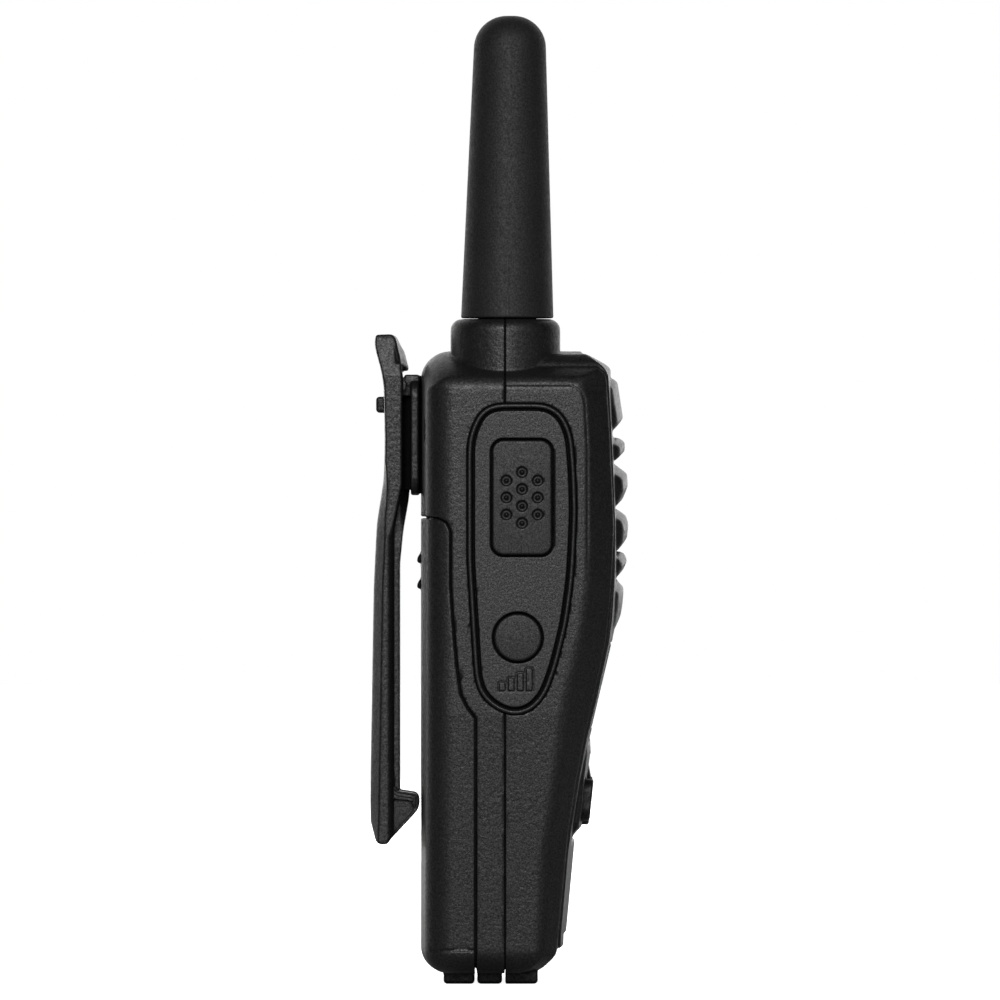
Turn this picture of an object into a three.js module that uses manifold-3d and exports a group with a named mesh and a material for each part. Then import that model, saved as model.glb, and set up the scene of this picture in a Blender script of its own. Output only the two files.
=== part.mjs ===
// Hand-held two-way radio with a fixed stub antenna, a side push-to-talk button and a belt clip.
// Millimetres, +Z up. The front (speaker and keys) faces -Y and the push-to-talk side faces -X.
// The origin is the middle of the foot pads, on the surface the radio stands on.
import * as THREE from "three";
import { mergeVertices } from "three/addons/utils/BufferGeometryUtils.js";
import Module from "manifold-3d";

const wasm = await Module();
wasm.setup();

// ---------------------------------------------------------------- driving dimensions
const HALF_WIDTH = 27;
const LOWER_HALF_WIDTH = 25.8;
const TAPER_FROM_Z = 45;
const BODY_BOTTOM = 1.9;
const BODY_TOP = 105.3;
const REAR_Y = 11.64;
const REAR_CROWN = 1.2;
const REAR_CORNER = 4.6;
const SHOULDER_ROUND = 5.6;
const REAR_TOP_ROUND = 4.8;
const BOTTOM_ROUND = 3.9;
const CHAMFER_WIDTH = 3.4;
const WALL = 1.7;
const PARTING_Y = -2.43;
const SEAM = 0.05;
const FIT_GAP = 0.15;

// Side view lines, each a list of [height, depth] corners from the bottom up.
const FRONT_LINE = [
  [1.9, -8.4], [3.1, -10.5], [4.1, -11.5], [5, -12.2], [8.5, -12.3], [22, -13.4], [34, -15.3],
  [40.3, -16.5], [47, -18.2], [57, -20.4], [61, -21.3], [68, -21.5], [84, -21], [101.3, -20.1],
  [102.4, -20.2], [103.1, -19.5], [105.3, -15.3],
];
const RIM_LINE = [
  [1.9, -8], [5, -11], [25, -12.9], [34, -14.3], [41, -15.6], [47.8, -17.2], [57, -19.2], [62, -19.7],
  [68, -20.2], [76, -20.5], [92, -19.8], [101.3, -19.2], [105.3, -14.9],
];
const CREASE_LINE = [
  [1.9, -6.5], [5.8, -8.3], [21, -9], [31.7, -10.6], [47, -12.6], [53.5, -14.2], [60.7, -15.6],
  [67, -16.2], [89, -16.2], [97, -15.8], [99.7, -14.6], [105.3, -12.5],
];
const DOOR_LINE = [
  [0, 2.43], [44.3, 2.43], [46.1, 3.8], [48.3, 4.9], [53.5, 5.6], [60.5, 6.2], [66.4, 6.6],
  [75.3, 6.6], [76.7, 7.2], [77.4, 8.4], [77.6, 9.5],
];

const COLLAR = { x: -15.5, y: -2.5, r: 9.13, top: 110.6, foot: 96, round: 1.8 };
const ANTENNA = { x: -15.5, y: -2.8, footR: 7.7, tipR: 6, tipZ: 156, top: 161.1 };
const SPIGOT = { r: 4.8, foot: 103, feedR: 2.2, feedFoot: 94 };
const COIL = { boreR: 3.2, boreFoot: 100, boreTop: 153, r: 2.5, wireR: 0.4, turns: 9, foot: 113, height: 37 };

// The long panel on the push-to-talk side, [depth, height] round its outer edge.
const PANEL_OUTLINE = [
  [-9.4, 96.5], [-12, 94.9], [-13.6, 91.3], [-14.1, 85], [-14.3, 78.5], [-14, 71.5], [-13.7, 67],
  [-12.7, 59.9], [-11, 53], [-9.3, 48.2], [-7, 45.5], [-3.8, 44.6], [-0.6, 45.9], [1.8, 48.2],
  [2.6, 51], [3.1, 59], [3.8, 70.5], [3.8, 90], [3.3, 92.1], [1.7, 95.4], [-0.6, 96.5],
];
const PANEL_PROUD = 0.2;
const PANEL_THICK = 1.4;
const PTT = { y: -5.25, z: 80.9, halfY: 4.95, halfZ: 9.5, round: 1.9, proud: 0.35 };
const SQUELCH = { y: -4.56, z: 57.7, r: 3.95, proud: 0.3 };
const BUTTON_GAP = 0.3;
const FLANGE_LIP = 0.7;
const FLANGE = { out: -25.1, in: -24.3 };
const BUTTON_WELL = { out: -26, in: -22.6 };
const NUB = { pitchY: 2.58, pitchZ: 2.8, r: 0.35, footR: 0.6, proud: 0.25 };
const TACT = { out: -22.2, in: -18.8, half: 2.4, stemOut: -22.8, stemR: 0.7 };

// Speaker louvres: [bottom, top, depth at the bottom edge, depth at the top edge] on the centre line.
const LOUVRES = [
  [93, 100.6, -22.2, -21.2], [88.3, 90.9, -22.5, -22.4], [81, 86, -22.4, -22.9],
  [73.2, 78.6, -22.6, -23.1], [68.6, 72, -22.3, -22.9], [61.6, 67, -21.6, -22.8],
];
const LOUVRE_HALF = 19;
const LOUVRE_ARCH = 1.1;
const LOUVRE_CROWN = 1.1;
const LOUVRE_ROOT = -20;
const SOUND_SLOT = { half: 0.55, front: -25, rear: -17 };
const SPEAKER = { z: 82, r: 16, front: -17.7, feltR: 14.5, felt: 0.5, magnetR: 7.5, magnetThick: 3.1 };

const SCREEN_TILT = THREE.MathUtils.degToRad(13.2);
const SCREEN = { z: 49.6, y: -18.8, halfX: 16.4, halfZ: 7.2, thick: 1.1 };
const KEY_FACE_Y = -17.2;
const KEY = { root: -11.6, lip: 0.45, flangeFront: -12, flangeRear: -11.4, stemR: 1.2, stemRear: -9.3 };
const KEY_BOSS = {
  half: 17.5,
  side: [[-10, 24], [-15.1, 25.2], [-15.8, 27.5], [-16.2, 34], [-16.8, 38.6], [-16.6, 40.8], [-12, 42]],
};
const LOWER_PLATE = {
  half: 18.5,
  side: [[-10, 8.2], [-12.7, 8.5], [-14.1, 23.2], [-13.6, 23.8], [-10, 23.8]],
};
const MICROPHONE = { x: 9, z: 16, r: 3, front: -8.4, holeR: 0.6 };
const BOARD = { front: -5.6, rear: -4.6, halfX: 22.3, bottom: 6, top: 99 };

const CELL = { r: 5.1, length: 43.2, nubR: 1.9, nub: 0.9, y: 4.25, pitch: 10.9 };
const BAY = { halfX: 16.9, bottom: 8.4, top: 57.6, floor: -0.95, wall: 1.2, rim: 8.5 };
const PLATE = { gap: 0.3, thick: 0.5 };

const SCREWS = [[-20.5, 92], [20.5, 92], [-20.5, 14], [20.5, 14]];
const POST_R = 2.4;
const SCREW = { shankR: 1, headR: 2, head: 1.6, tip: -9, slotHalf: 0.25, slotReach: 1.1, slotDepth: 0.8 };
const UPPER_SEAT = 5.4;
const LOWER_SEAT = 0.4;

const CLIP_HALF = 10;
const CLIP_PIN = { y: 15.2, z: 99.6, r: 0.75, half: 9 };
const CLIP_POCKET = 8.4;
const CLIP_RIB_HALF = 6.5;
const CLIP_PLATE = { bottom: 81.3, top: 100.6, inner: 11.9, outer: 13.1, earHalf: 8.1, ear: 2.7, earR: 1.5 };
const RAIL = { neck: 3, head: 5, headIn: 7.6, headOut: 9.2, bottom: 81.6, top: 99.5 };
const DOOR_RIB_HALF = 4.4;

const JACK = { y: -8.7, z: 84.4, barrelR: 2.9, plugR: 1.75 };
const COVER = { halfY: 3.9, low: 75.2, high: 90.2, thick: 1.1, pull: 0.6 };
const FOOT_HALF = 17;

// ---------------------------------------------------------------- small tools
function solid(geometry) {
  geometry.deleteAttribute("normal");
  geometry.deleteAttribute("uv");
  const merged = mergeVertices(geometry, 1e-4);
  return new wasm.Manifold(
    new wasm.Mesh({
      numProp: 3,
      vertProperties: new Float32Array(merged.attributes.position.array),
      triVerts: new Uint32Array(merged.index.array),
    }),
  );
}

function geometryOf(made) {
  const mesh = made.getMesh();
  const geometry = new THREE.BufferGeometry();
  geometry.setAttribute("position", new THREE.BufferAttribute(mesh.vertProperties, 3));
  geometry.setIndex(new THREE.BufferAttribute(mesh.triVerts, 1));
  return geometry.toNonIndexed();
}

function valueAt(line, z) {
  const last = line.length - 1;
  if (z <= line[0][0]) return line[0][1];
  if (z >= line[last][0]) return line[last][1];
  const i = line.findIndex((corner) => corner[0] > z);
  const [z0, v0] = line[i - 1];
  const [z1, v1] = line[i];
  return v0 + ((v1 - v0) * (z - z0)) / (z1 - z0);
}

function box(x0, x1, y0, y1, z0, z1) {
  const made = new THREE.BoxGeometry(x1 - x0, y1 - y0, z1 - z0);
  return solid(made.translate((x0 + x1) / 2, (y0 + y1) / 2, (z0 + z1) / 2));
}

// A cylinder or cone along an axis ("x", "y" or "z"), from one place on the axis to another.
function rod(axis, a, b, from, to, r, endR = r, sides = 24) {
  const made = new THREE.CylinderGeometry(endR, r, to - from, sides).rotateX(Math.PI / 2);
  const middle = (from + to) / 2;
  if (axis === "x") return solid(made.rotateY(Math.PI / 2).translate(middle, a, b));
  if (axis === "y") return solid(made.rotateX(-Math.PI / 2).translate(a, middle, b));
  return solid(made.translate(a, b, middle));
}

function extruded(shape, depth, segments) {
  return new THREE.ExtrudeGeometry(shape, { depth, bevelEnabled: false, curveSegments: segments });
}

// A [y, z] shape swept along x, and an [x, z] shape swept along y.
function alongX(shape, x0, x1, segments = 4) {
  const turn = new THREE.Matrix4().makeBasis(
    new THREE.Vector3(0, 1, 0), new THREE.Vector3(0, 0, 1), new THREE.Vector3(1, 0, 0),
  );
  return solid(extruded(shape, x1 - x0, segments).applyMatrix4(turn).translate(x0, 0, 0));
}

function alongY(shape, y0, y1, segments = 4) {
  return solid(extruded(shape, y1 - y0, segments).rotateX(Math.PI / 2).translate(0, y1, 0));
}

function polygon(points) {
  return new THREE.Shape(points.map(([u, v]) => new THREE.Vector2(u, v)));
}

function roundedRectangle(u0, u1, v0, v1, r) {
  const shape = new THREE.Shape();
  shape.moveTo(u0 + r, v0);
  shape.lineTo(u1 - r, v0);
  shape.absarc(u1 - r, v0 + r, r, -Math.PI / 2, 0, false);
  shape.lineTo(u1, v1 - r);
  shape.absarc(u1 - r, v1 - r, r, 0, Math.PI / 2, false);
  shape.lineTo(u0 + r, v1);
  shape.absarc(u0 + r, v1 - r, r, Math.PI / 2, Math.PI, false);
  shape.lineTo(u0, v0 + r);
  shape.absarc(u0 + r, v0 + r, r, Math.PI, 1.5 * Math.PI, false);
  return shape;
}

// A closed skin through rings of points, each ring running the same way round, with flat fan ends.
function skin(rings) {
  const count = rings[0].length;
  const points = rings.flat();
  const faces = [];
  for (let i = 0; i + 1 < rings.length; i++) {
    for (let j = 0; j < count; j++) {
      const a = i * count + j;
      const b = i * count + ((j + 1) % count);
      faces.push(a, b, b + count, a, b + count, a + count);
    }
  }
  const ends = [rings[0], rings[rings.length - 1]];
  ends.forEach((ring, end) => {
    const hub = points.length;
    const sum = ring.reduce((s, p) => s.map((v, k) => v + p[k]), [0, 0, 0]);
    points.push(sum.map((v) => v / count));
    const base = end ? (rings.length - 1) * count : 0;
    for (let j = 0; j < count; j++) {
      const a = base + j;
      const b = base + ((j + 1) % count);
      if (end) faces.push(hub, a, b);
      else faces.push(hub, b, a);
    }
  });
  const geometry = new THREE.BufferGeometry();
  geometry.setAttribute("position", new THREE.Float32BufferAttribute(points.flat(), 3));
  geometry.setIndex(faces);
  return solid(geometry);
}

// A solid of revolution about a vertical line, from [radius, height] points that start and end on it.
function turned(points, x, y, sides = 28) {
  const profile = points.map(([r, z]) => new THREE.Vector2(r, z));
  return solid(new THREE.LatheGeometry(profile, sides).rotateX(Math.PI / 2).translate(x, y, 0));
}

// A wire of round section through 3-D points.
function wire(points, r, steps) {
  const path = new THREE.CatmullRomCurve3(points);
  const corners = [0, 1, 2, 3, 4].map((k) => {
    const angle = (k / 5) * 2 * Math.PI;
    return [r * Math.cos(angle), r * Math.sin(angle)];
  });
  return solid(new THREE.ExtrudeGeometry(polygon(corners), { steps, extrudePath: path }));
}

const all = (solids) => solids.reduce((sum, next) => sum.add(next));

// ---------------------------------------------------------------- body shape
// How far an edge of radius r has drawn in at a distance from the end it rounds over to.
function drawnIn(distance, r) {
  if (distance >= r) return 0;
  return r - Math.sqrt(r * r - (r - distance) ** 2);
}

function halfWidthAt(z) {
  const flat = valueAt([[5, LOWER_HALF_WIDTH], [TAPER_FROM_Z, HALF_WIDTH]], z);
  const top = drawnIn(BODY_TOP - z, SHOULDER_ROUND);
  return flat - top - drawnIn(z - BODY_BOTTOM, BOTTOM_ROUND);
}

function rearAt(z) {
  return REAR_Y - drawnIn(BODY_TOP - z, REAR_TOP_ROUND) - drawnIn(z - BODY_BOTTOM, BOTTOM_ROUND);
}

// One level slice of the body, drawn in everywhere by inset.
function bodyRing(z, inset) {
  const half = halfWidthAt(z) - inset;
  const rear = rearAt(z) - inset;
  const front = valueAt(FRONT_LINE, z) + inset;
  const rim = valueAt(RIM_LINE, z) + inset;
  const crease = valueAt(CREASE_LINE, z) + inset * 0.4;
  const corner = REAR_CORNER - inset / 2;
  const side = [
    [0, front],
    [half * 0.45, front + (rim - front) * 0.2],
    [half - CHAMFER_WIDTH, rim],
    [half, crease],
    [half, PARTING_Y],
  ];
  for (let k = 0; k <= 3; k++) {
    const turn = (k / 3) * (Math.PI / 2);
    side.push([
      half - corner * (1 - Math.cos(turn)),
      rear - REAR_CROWN - corner * (1 - Math.sin(turn)),
    ]);
  }
  side.push([half * 0.45, rear - REAR_CROWN * 0.2], [0, rear]);
  const left = side.slice(1, -1).reverse();
  return [...side, ...left.map(([x, y]) => [-x, y])].map(([x, y]) => [x, y, z]);
}

const OUTER_LEVELS = [
  1.9, 2.3, 3.1, 4.1, 5.8, 8.45, 21, 25.1, 31.7, 34.3, 41.3, 47, 53.5, 57.1, 61.1, 65.9, 75.7, 83.4,
  92.7, 97.1, 99.7, 101.3, 102.4, 103.2, 104.3, 105.3,
];
const INNER_LEVELS = [3.6, 5.8, 22, 34, 41, 47, 57, 62, 69.7, 84.2, 96.6, 100.5, 102.4, 103.6];
const outer = skin(OUTER_LEVELS.map((z) => bodyRing(z, 0)));
const hollow = skin(INNER_LEVELS.map((z) => bodyRing(z, WALL)));

const AHEAD = box(-40, 40, -40, PARTING_Y - SEAM, -5, 125);
const BEHIND = box(-40, 40, PARTING_Y + SEAM, 40, -5, 125);

function collar() {
  const { r, top, foot, round } = COLLAR;
  const corner = [0.5, 0.87, 1].map((s) => {
    const rise = Math.sqrt(1 - s * s);
    return [r - round + round * s, top - round + round * rise];
  });
  const profile = [[0, foot], [r, foot], ...corner.reverse(), [r - round, top], [0, top]];
  return turned(profile, COLLAR.x, COLLAR.y, 36);
}

function antennaSocket() {
  const { r, foot, feedR, feedFoot } = SPIGOT;
  const seat = rod("z", ANTENNA.x, ANTENNA.y, foot - 0.8, COLLAR.top + 1.4, r + FIT_GAP);
  return seat.add(rod("z", ANTENNA.x, ANTENNA.y, feedFoot, foot, feedR, feedR, 12));
}

// The panel outline let out or drawn in; the panel is about three times as tall as it is wide.
function panelShape(grow) {
  const [middleY, middleZ, stretch] = [-5, 72, 3];
  const points = PANEL_OUTLINE.map(([y, z]) => {
    const across = y - middleY;
    const up = (z - middleZ) / stretch;
    const step = grow / Math.hypot(across, up);
    return [y + step * across, z + step * up];
  });
  return polygon(points.reverse());
}

// The space for the side panel, the side buttons and their flanges.
function sidePocket() {
  const seat = alongX(panelShape(0.1), -HALF_WIDTH - 1, -HALF_WIDTH + PANEL_THICK);
  const well = ({ y, z }, halfY, halfZ) =>
    box(BUTTON_WELL.out, BUTTON_WELL.in, y - halfY, y + halfY, z - halfZ, z + halfZ);
  return all([seat, well(PTT, 6.5, 11.3), well(SQUELCH, 5, 5.3)]);
}

function doorShape(gap) {
  const edge = DOOR_LINE.map(([z, y]) => [y - gap, z > 50 ? z + gap : z]);
  const first = [edge[0][0], -5];
  const last = edge[edge.length - 1];
  return polygon([first, ...edge, [30, last[1]], [30, -5]].reverse());
}

function footPad(y0, y1) {
  const r = 0.7;
  const shape = new THREE.Shape();
  shape.moveTo(y0 + r, 0);
  shape.lineTo(y1 - r, 0);
  shape.absarc(y1 - r, r, r, -Math.PI / 2, 0, false);
  shape.lineTo(y1, BODY_BOTTOM + 1);
  shape.lineTo(y0, BODY_BOTTOM + 1);
  shape.absarc(y0 + r, r, r, Math.PI, 1.5 * Math.PI, false);
  return alongX(shape, -FOOT_HALF, FOOT_HALF, 3);
}

// ---------------------------------------------------------------- front housing
// A bar or slot across the grille that arches up and stands out towards the middle.
function arched(shape, half) {
  const stations = [-1, -0.6, -0.25, 0.25, 0.6, 1];
  return skin(
    stations.map((s) =>
      shape.map(([y, z]) => [s * half, y + LOUVRE_CROWN * s * s, z - LOUVRE_ARCH * s * s]),
    ),
  );
}

function louvre([bottom, top, low, high]) {
  const slope = (top - bottom) * 0.12;
  const crest = [[high, top - slope], [low, bottom + 0.4]];
  return arched([[LOUVRE_ROOT, bottom], [LOUVRE_ROOT, top], ...crest], LOUVRE_HALF);
}

function soundSlots() {
  const { half, front, rear } = SOUND_SLOT;
  return all(
    LOUVRES.slice(1).map((below, i) => {
      const middle = (below[1] + LOUVRES[i][0]) / 2;
      const low = middle - half;
      const high = middle + half;
      return arched([[front, low], [front, high], [rear, high], [rear, low]], LOUVRE_HALF - 3);
    }),
  );
}

// Places a piece drawn flat against y = 0 on the slope of the screen.
function onScreen(made, depth) {
  const place = new THREE.Matrix4()
    .makeTranslation(0, SCREEN.y, SCREEN.z)
    .multiply(new THREE.Matrix4().makeRotationX(SCREEN_TILT))
    .multiply(new THREE.Matrix4().makeTranslation(0, depth, 0));
  return made.transform(place.elements);
}

function screenPlate(grow, y0, y1, r = 1.5) {
  const { halfX, halfZ } = SCREEN;
  return alongY(roundedRectangle(-halfX - grow, halfX + grow, -halfZ - grow, halfZ + grow, r), y0, y1);
}

const keyShapes = {
  key_up: (g) => arcKey(0, 33.4 - g, 36.4 + g, 7 + g),
  key_down: (g) => roundedRectangle(-7 - g, 7 + g, 26.2 - g, 32.2 + g, 2.6),
  key_menu: (g) => roundedRectangle(-15 - g, -9 + g, 27 - g, 34 + g, 2.2),
  key_call: (g) => roundedRectangle(9 - g, 15 + g, 27 - g, 34 + g, 2.2),
  key_power: (g) => new THREE.Shape().absarc(0, 39.3, 1.5 + g, 0, 2 * Math.PI, false),
};

const keyMiddles = {
  key_up: [0, 34.7],
  key_down: [0, 29.2],
  key_menu: [-12, 30.5],
  key_call: [12, 30.5],
  key_power: [0, 39.3],
};

// A shallow arch: flat below, a round crest above.
function arcKey(x, bottom, top, half) {
  const shape = new THREE.Shape();
  shape.moveTo(x - half, bottom);
  shape.lineTo(x + half, bottom);
  shape.quadraticCurveTo(x + half * 0.9, top, x, top);
  shape.quadraticCurveTo(x - half * 0.9, top, x - half, bottom);
  return shape;
}

// A raised part of the front: a side-on shape swept across the middle.
function raised({ half, side }) {
  return alongX(polygon([...side].reverse()), -half, half);
}

function post(x, z) {
  const made = rod("y", x, z, -22, PARTING_Y - SEAM, POST_R, POST_R, 16);
  return made.intersect(outer);
}

function frontHousing() {
  const relief = all([...LOUVRES.map(louvre), raised(KEY_BOSS), raised(LOWER_PLATE)]);
  const block = all([outer, collar(), relief, footPad(-7.9, PARTING_Y - SEAM)]).intersect(AHEAD);
  const shell = block.subtract(hollow).add(all(SCREWS.map(([x, z]) => post(x, z))));
  const pilotR = SCREW.shankR + 0.05;
  const pilots = SCREWS.map(([x, z]) => rod("y", x, z, SCREW.tip - 2, 0, pilotR, pilotR, 14));
  const keyHoles = all(Object.values(keyShapes).map((shape) => alongY(shape(0.25), -25, -8)));
  const window = onScreen(screenPlate(-1.6, -6, 6), 0);
  const windowSeat = onScreen(screenPlate(0.1, -3, SCREEN.thick), 0);
  const { x, z, holeR } = MICROPHONE;
  const cuts = all([
    ...pilots, keyHoles, window, windowSeat, soundSlots(), sidePocket(), jackPocket(), antennaSocket(),
    rod("y", x, z, -20, -8, holeR, holeR, 10),
  ]);
  return shell.subtract(cuts);
}

// ---------------------------------------------------------------- rear housing and battery door
function bayWalls() {
  const { halfX, bottom, top, floor, wall, rim } = BAY;
  const block = box(-halfX - wall, halfX + wall, floor - 0.5, rim, bottom - wall, top + wall);
  return block.subtract(box(-halfX, halfX, floor, rim + 1, bottom, top));
}

function clipRail(grow) {
  const { neck, head, headIn, headOut, bottom } = RAIL;
  const slotTop = BODY_TOP + 2;
  const low = bottom - grow;
  const neckCut = box(-neck - grow, neck + grow, headOut - 1, REAR_Y + 2, low, slotTop);
  return neckCut.add(box(-head - grow, head + grow, headIn - grow, headOut + grow, low, slotTop));
}

// The depth the screw heads sit at: the two upper ones go in deeper than the two in the battery bay.
function screwSeat(index) {
  return index < 2 ? UPPER_SEAT : LOWER_SEAT;
}

// The room inside the rear: open above the bay, shallow over its top end and cut back beside it.
function rearRooms() {
  const upper = hollow.intersect(box(-30, 30, -5, 30, 79.3, 110));
  const step = hollow.intersect(box(-30, 30, -5, 4.9, 62.5, 80));
  const [low, high] = [3.6, 60.8];
  const under = hollow.intersect(box(-30, 30, BAY.floor, 30, low, high));
  const beside = box(-24.1, 24.1, BAY.floor, 20, low, high).intersect(outer);
  return all([upper, step, under, beside]);
}

function rearHousing() {
  const block = all([outer, collar()]).intersect(BEHIND);
  const foot = footPad(-1.95, 2.2);
  const railBlock = box(-8, 8, 5.6, 20, 78, 104).intersect(outer);
  const bosses = SCREWS.map(([x, z], i) => {
    const rear = i < 2 ? 10.3 : 2;
    return rod("y", x, z, PARTING_Y + SEAM, rear, 3.4, 3.4, 18);
  });
  const kept = block
    .subtract(alongX(doorShape(FIT_GAP), -30, 30))
    .subtract(rearRooms())
    .add(all([bayWalls(), railBlock, foot, ...bosses]));
  const headR = SCREW.headR + 0.2;
  const shankR = SCREW.shankR + 0.15;
  const holes = SCREWS.map(([x, z], i) => {
    const seat = screwSeat(i);
    return rod("y", x, z, seat, 20, headR, headR, 18).add(rod("y", x, z, -10, seat + 1, shankR, shankR, 14));
  });
  return kept.subtract(all([clipRail(0.2), sidePocket(), antennaSocket(), ...holes]));
}

function gripRib(top) {
  const teardrop = [
    [10, top + 0.4], [10, top - 2.6], [12, top - 2.3], [12.3, top - 1.8], [12.1, top - 1.1],
  ];
  return alongX(polygon(teardrop), -DOOR_RIB_HALF, DOOR_RIB_HALF);
}

function batteryDoor() {
  const region = alongX(doorShape(-FIT_GAP + 0.02), -30, 30);
  const tray = outer.intersect(region).subtract(hollow);
  return all([tray, gripRib(72.2), gripRib(67.9), footPad(2.62, 7.8)]);
}

// ---------------------------------------------------------------- side panel and buttons
function sidePanel() {
  const out = -HALF_WIDTH - PANEL_PROUD;
  const plate = alongX(panelShape(0), out, -HALF_WIDTH + PANEL_THICK - 0.1);
  const field = alongX(panelShape(-1.1), out - 1, out + 0.4);
  const pttHole = alongX(pttShape(BUTTON_GAP), -30, -20);
  const r = SQUELCH.r + BUTTON_GAP;
  const squelchHole = rod("x", SQUELCH.y, SQUELCH.z, -30, -20, r, r, 28);
  return plate.subtract(all([field, pttHole, squelchHole]));
}

function pttShape(grow) {
  const halfY = PTT.halfY + grow;
  const halfZ = PTT.halfZ + grow;
  const { y, z, round } = PTT;
  return roundedRectangle(y - halfY, y + halfY, z - halfZ, z + halfZ, round + grow);
}

function pttButton() {
  const face = -HALF_WIDTH - PTT.proud + 0.1;
  const cap = alongX(pttShape(0), face, FLANGE.in - 0.1);
  const flange = alongX(pttShape(FLANGE_LIP), FLANGE.out, FLANGE.in);
  const nubs = [];
  for (let column = -1; column <= 1; column++) {
    const rows = column ? 3 : 4;
    for (let row = 0; row < rows; row++) {
      const y = PTT.y + column * NUB.pitchY;
      const z = PTT.z + (row - (rows - 1) / 2) * NUB.pitchZ;
      nubs.push(rod("x", y, z, face - NUB.proud, face + 0.2, NUB.r, NUB.footR, 8));
    }
  }
  return all([cap, flange, ...nubs]);
}

function squelchButton() {
  const { y, z, r } = SQUELCH;
  const lipR = r + 0.55;
  const cap = rod("x", y, z, -HALF_WIDTH - SQUELCH.proud, FLANGE.in - 0.1, r, r, 28);
  return cap.add(rod("x", y, z, FLANGE.out, FLANGE.in, lipR, lipR, 28));
}

function tactSwitch(z, rear) {
  const { out, half, stemOut, stemR } = TACT;
  const body = box(out, TACT.in, BOARD.rear + 0.02, rear, z - half, z + half);
  return body.add(rod("x", BOARD.rear + 1, z, stemOut, out + 0.2, stemR, stemR, 12));
}

// ---------------------------------------------------------------- accessory socket on the far side
function coverShape(grow) {
  const { halfY, low, high } = COVER;
  return roundedRectangle(JACK.y - halfY - grow, JACK.y + halfY + grow, low - grow, high + grow, 1.4);
}

function jackPocket() {
  const seat = alongX(coverShape(FIT_GAP), HALF_WIDTH - COVER.thick - 0.1, HALF_WIDTH + 2);
  return seat.add(rod("x", JACK.y, JACK.z, 20, 30, JACK.barrelR + 0.2));
}

function jackCover() {
  const { thick, high, pull } = COVER;
  const plate = alongX(coverShape(0), HALF_WIDTH - thick, HALF_WIDTH);
  const plug = rod("x", JACK.y, JACK.z, HALF_WIDTH - 2, HALF_WIDTH - 1, 1.2, 1.2, 16);
  const tab = box(HALF_WIDTH - 0.5, HALF_WIDTH + pull, JACK.y - 2, JACK.y + 2, high - 1.4, high - 0.5);
  return all([plate, plug, tab]);
}

function jackSocket() {
  const { y, z, barrelR, plugR } = JACK;
  return rod("x", y, z, 14, 25.5, barrelR).subtract(rod("x", y, z, 16, 27, plugR, plugR, 18));
}

// ---------------------------------------------------------------- antenna
function antennaSleeve() {
  const { x, y, footR, tipR, tipZ, top } = ANTENNA;
  const dome = [0.26, 0.5, 0.71, 0.87, 0.97].map((s) => {
    const r = tipR * Math.sqrt(1 - s * s);
    return [r, tipZ + (top - tipZ) * s];
  });
  const foot = COLLAR.top + FIT_GAP;
  const spigot = [[0, SPIGOT.foot], [SPIGOT.r, SPIGOT.foot], [SPIGOT.r, foot]];
  const made = turned([...spigot, [footR, foot], [tipR, tipZ], ...dome, [0, top]], x, y, 36);
  return made.subtract(rod("z", x, y, COIL.boreFoot, COIL.boreTop, COIL.boreR, COIL.boreR, 18));
}

function antennaCoil() {
  const { r, wireR, turns, foot, height } = COIL;
  const points = [[0, 97.5], [0, 104], [0.6, 109]].map(([x, z]) => new THREE.Vector3(x, 0, z));
  for (let i = 0; i <= turns * 8; i++) {
    const angle = (i / 8) * 2 * Math.PI;
    const z = foot + (i / (turns * 8)) * height;
    points.push(new THREE.Vector3(r * Math.cos(angle), r * Math.sin(angle), z));
  }
  return wire(points, wireR, turns * 9 + 6).translate([ANTENNA.x, ANTENNA.y, 0]);
}

// ---------------------------------------------------------------- inside the front
function speakerFrame() {
  const { z, r, front } = SPEAKER;
  const dish = [
    [r, 0], [r, 1.2], [r - 1, 1.6], [9, 4.6], [9, 5.4], [6, 5.4], [6, 4.2], [13.6, 1], [13.6, 0],
  ];
  const shape = dish.map(([x, y]) => new THREE.Vector2(x, y));
  shape.push(shape[0].clone());
  return solid(new THREE.LatheGeometry(shape, 36).translate(0, front, z));
}

function speakerCone() {
  const { z, front } = SPEAKER;
  const cone = [[0, 1.2], [4, 1.5], [5.2, 3.6], [12.9, 0.3], [13.4, 0.5], [5.4, 4], [3.6, 2.2], [0, 1.9]];
  const made = new THREE.LatheGeometry(cone.map(([x, y]) => new THREE.Vector2(x, y)), 36);
  return solid(made.translate(0, front, z));
}

function speakerMagnet() {
  const { z, front, magnetR, magnetThick } = SPEAKER;
  const face = front + 5.5;
  return rod("y", 0, z, face, face + magnetThick, magnetR, magnetR, 28);
}

function speakerFelt() {
  const { z, front, feltR, felt } = SPEAKER;
  return rod("y", 0, z, front - felt, front - 0.05, feltR, feltR, 28);
}

function keyOf(name) {
  const face = KEY_FACE_Y + (name === "key_power" ? -0.2 : 0);
  const cap = alongY(keyShapes[name](0), face, KEY.root);
  const flange = alongY(keyShapes[name](KEY.lip), KEY.flangeFront, KEY.flangeRear);
  const [x, z] = keyMiddles[name];
  return all([cap, flange, rod("y", x, z, KEY.flangeRear - 0.1, KEY.stemRear, KEY.stemR, KEY.stemR, 12)]);
}

function keyMat() {
  const sheet = box(-17, 17, -6.7, BOARD.front - 0.02, 24, 41.5);
  const domes = Object.values(keyMiddles).map(([x, z]) => rod("y", x, z, -8.3, -6.5, 1.1, 2, 12));
  return all([sheet, ...domes]);
}

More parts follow.
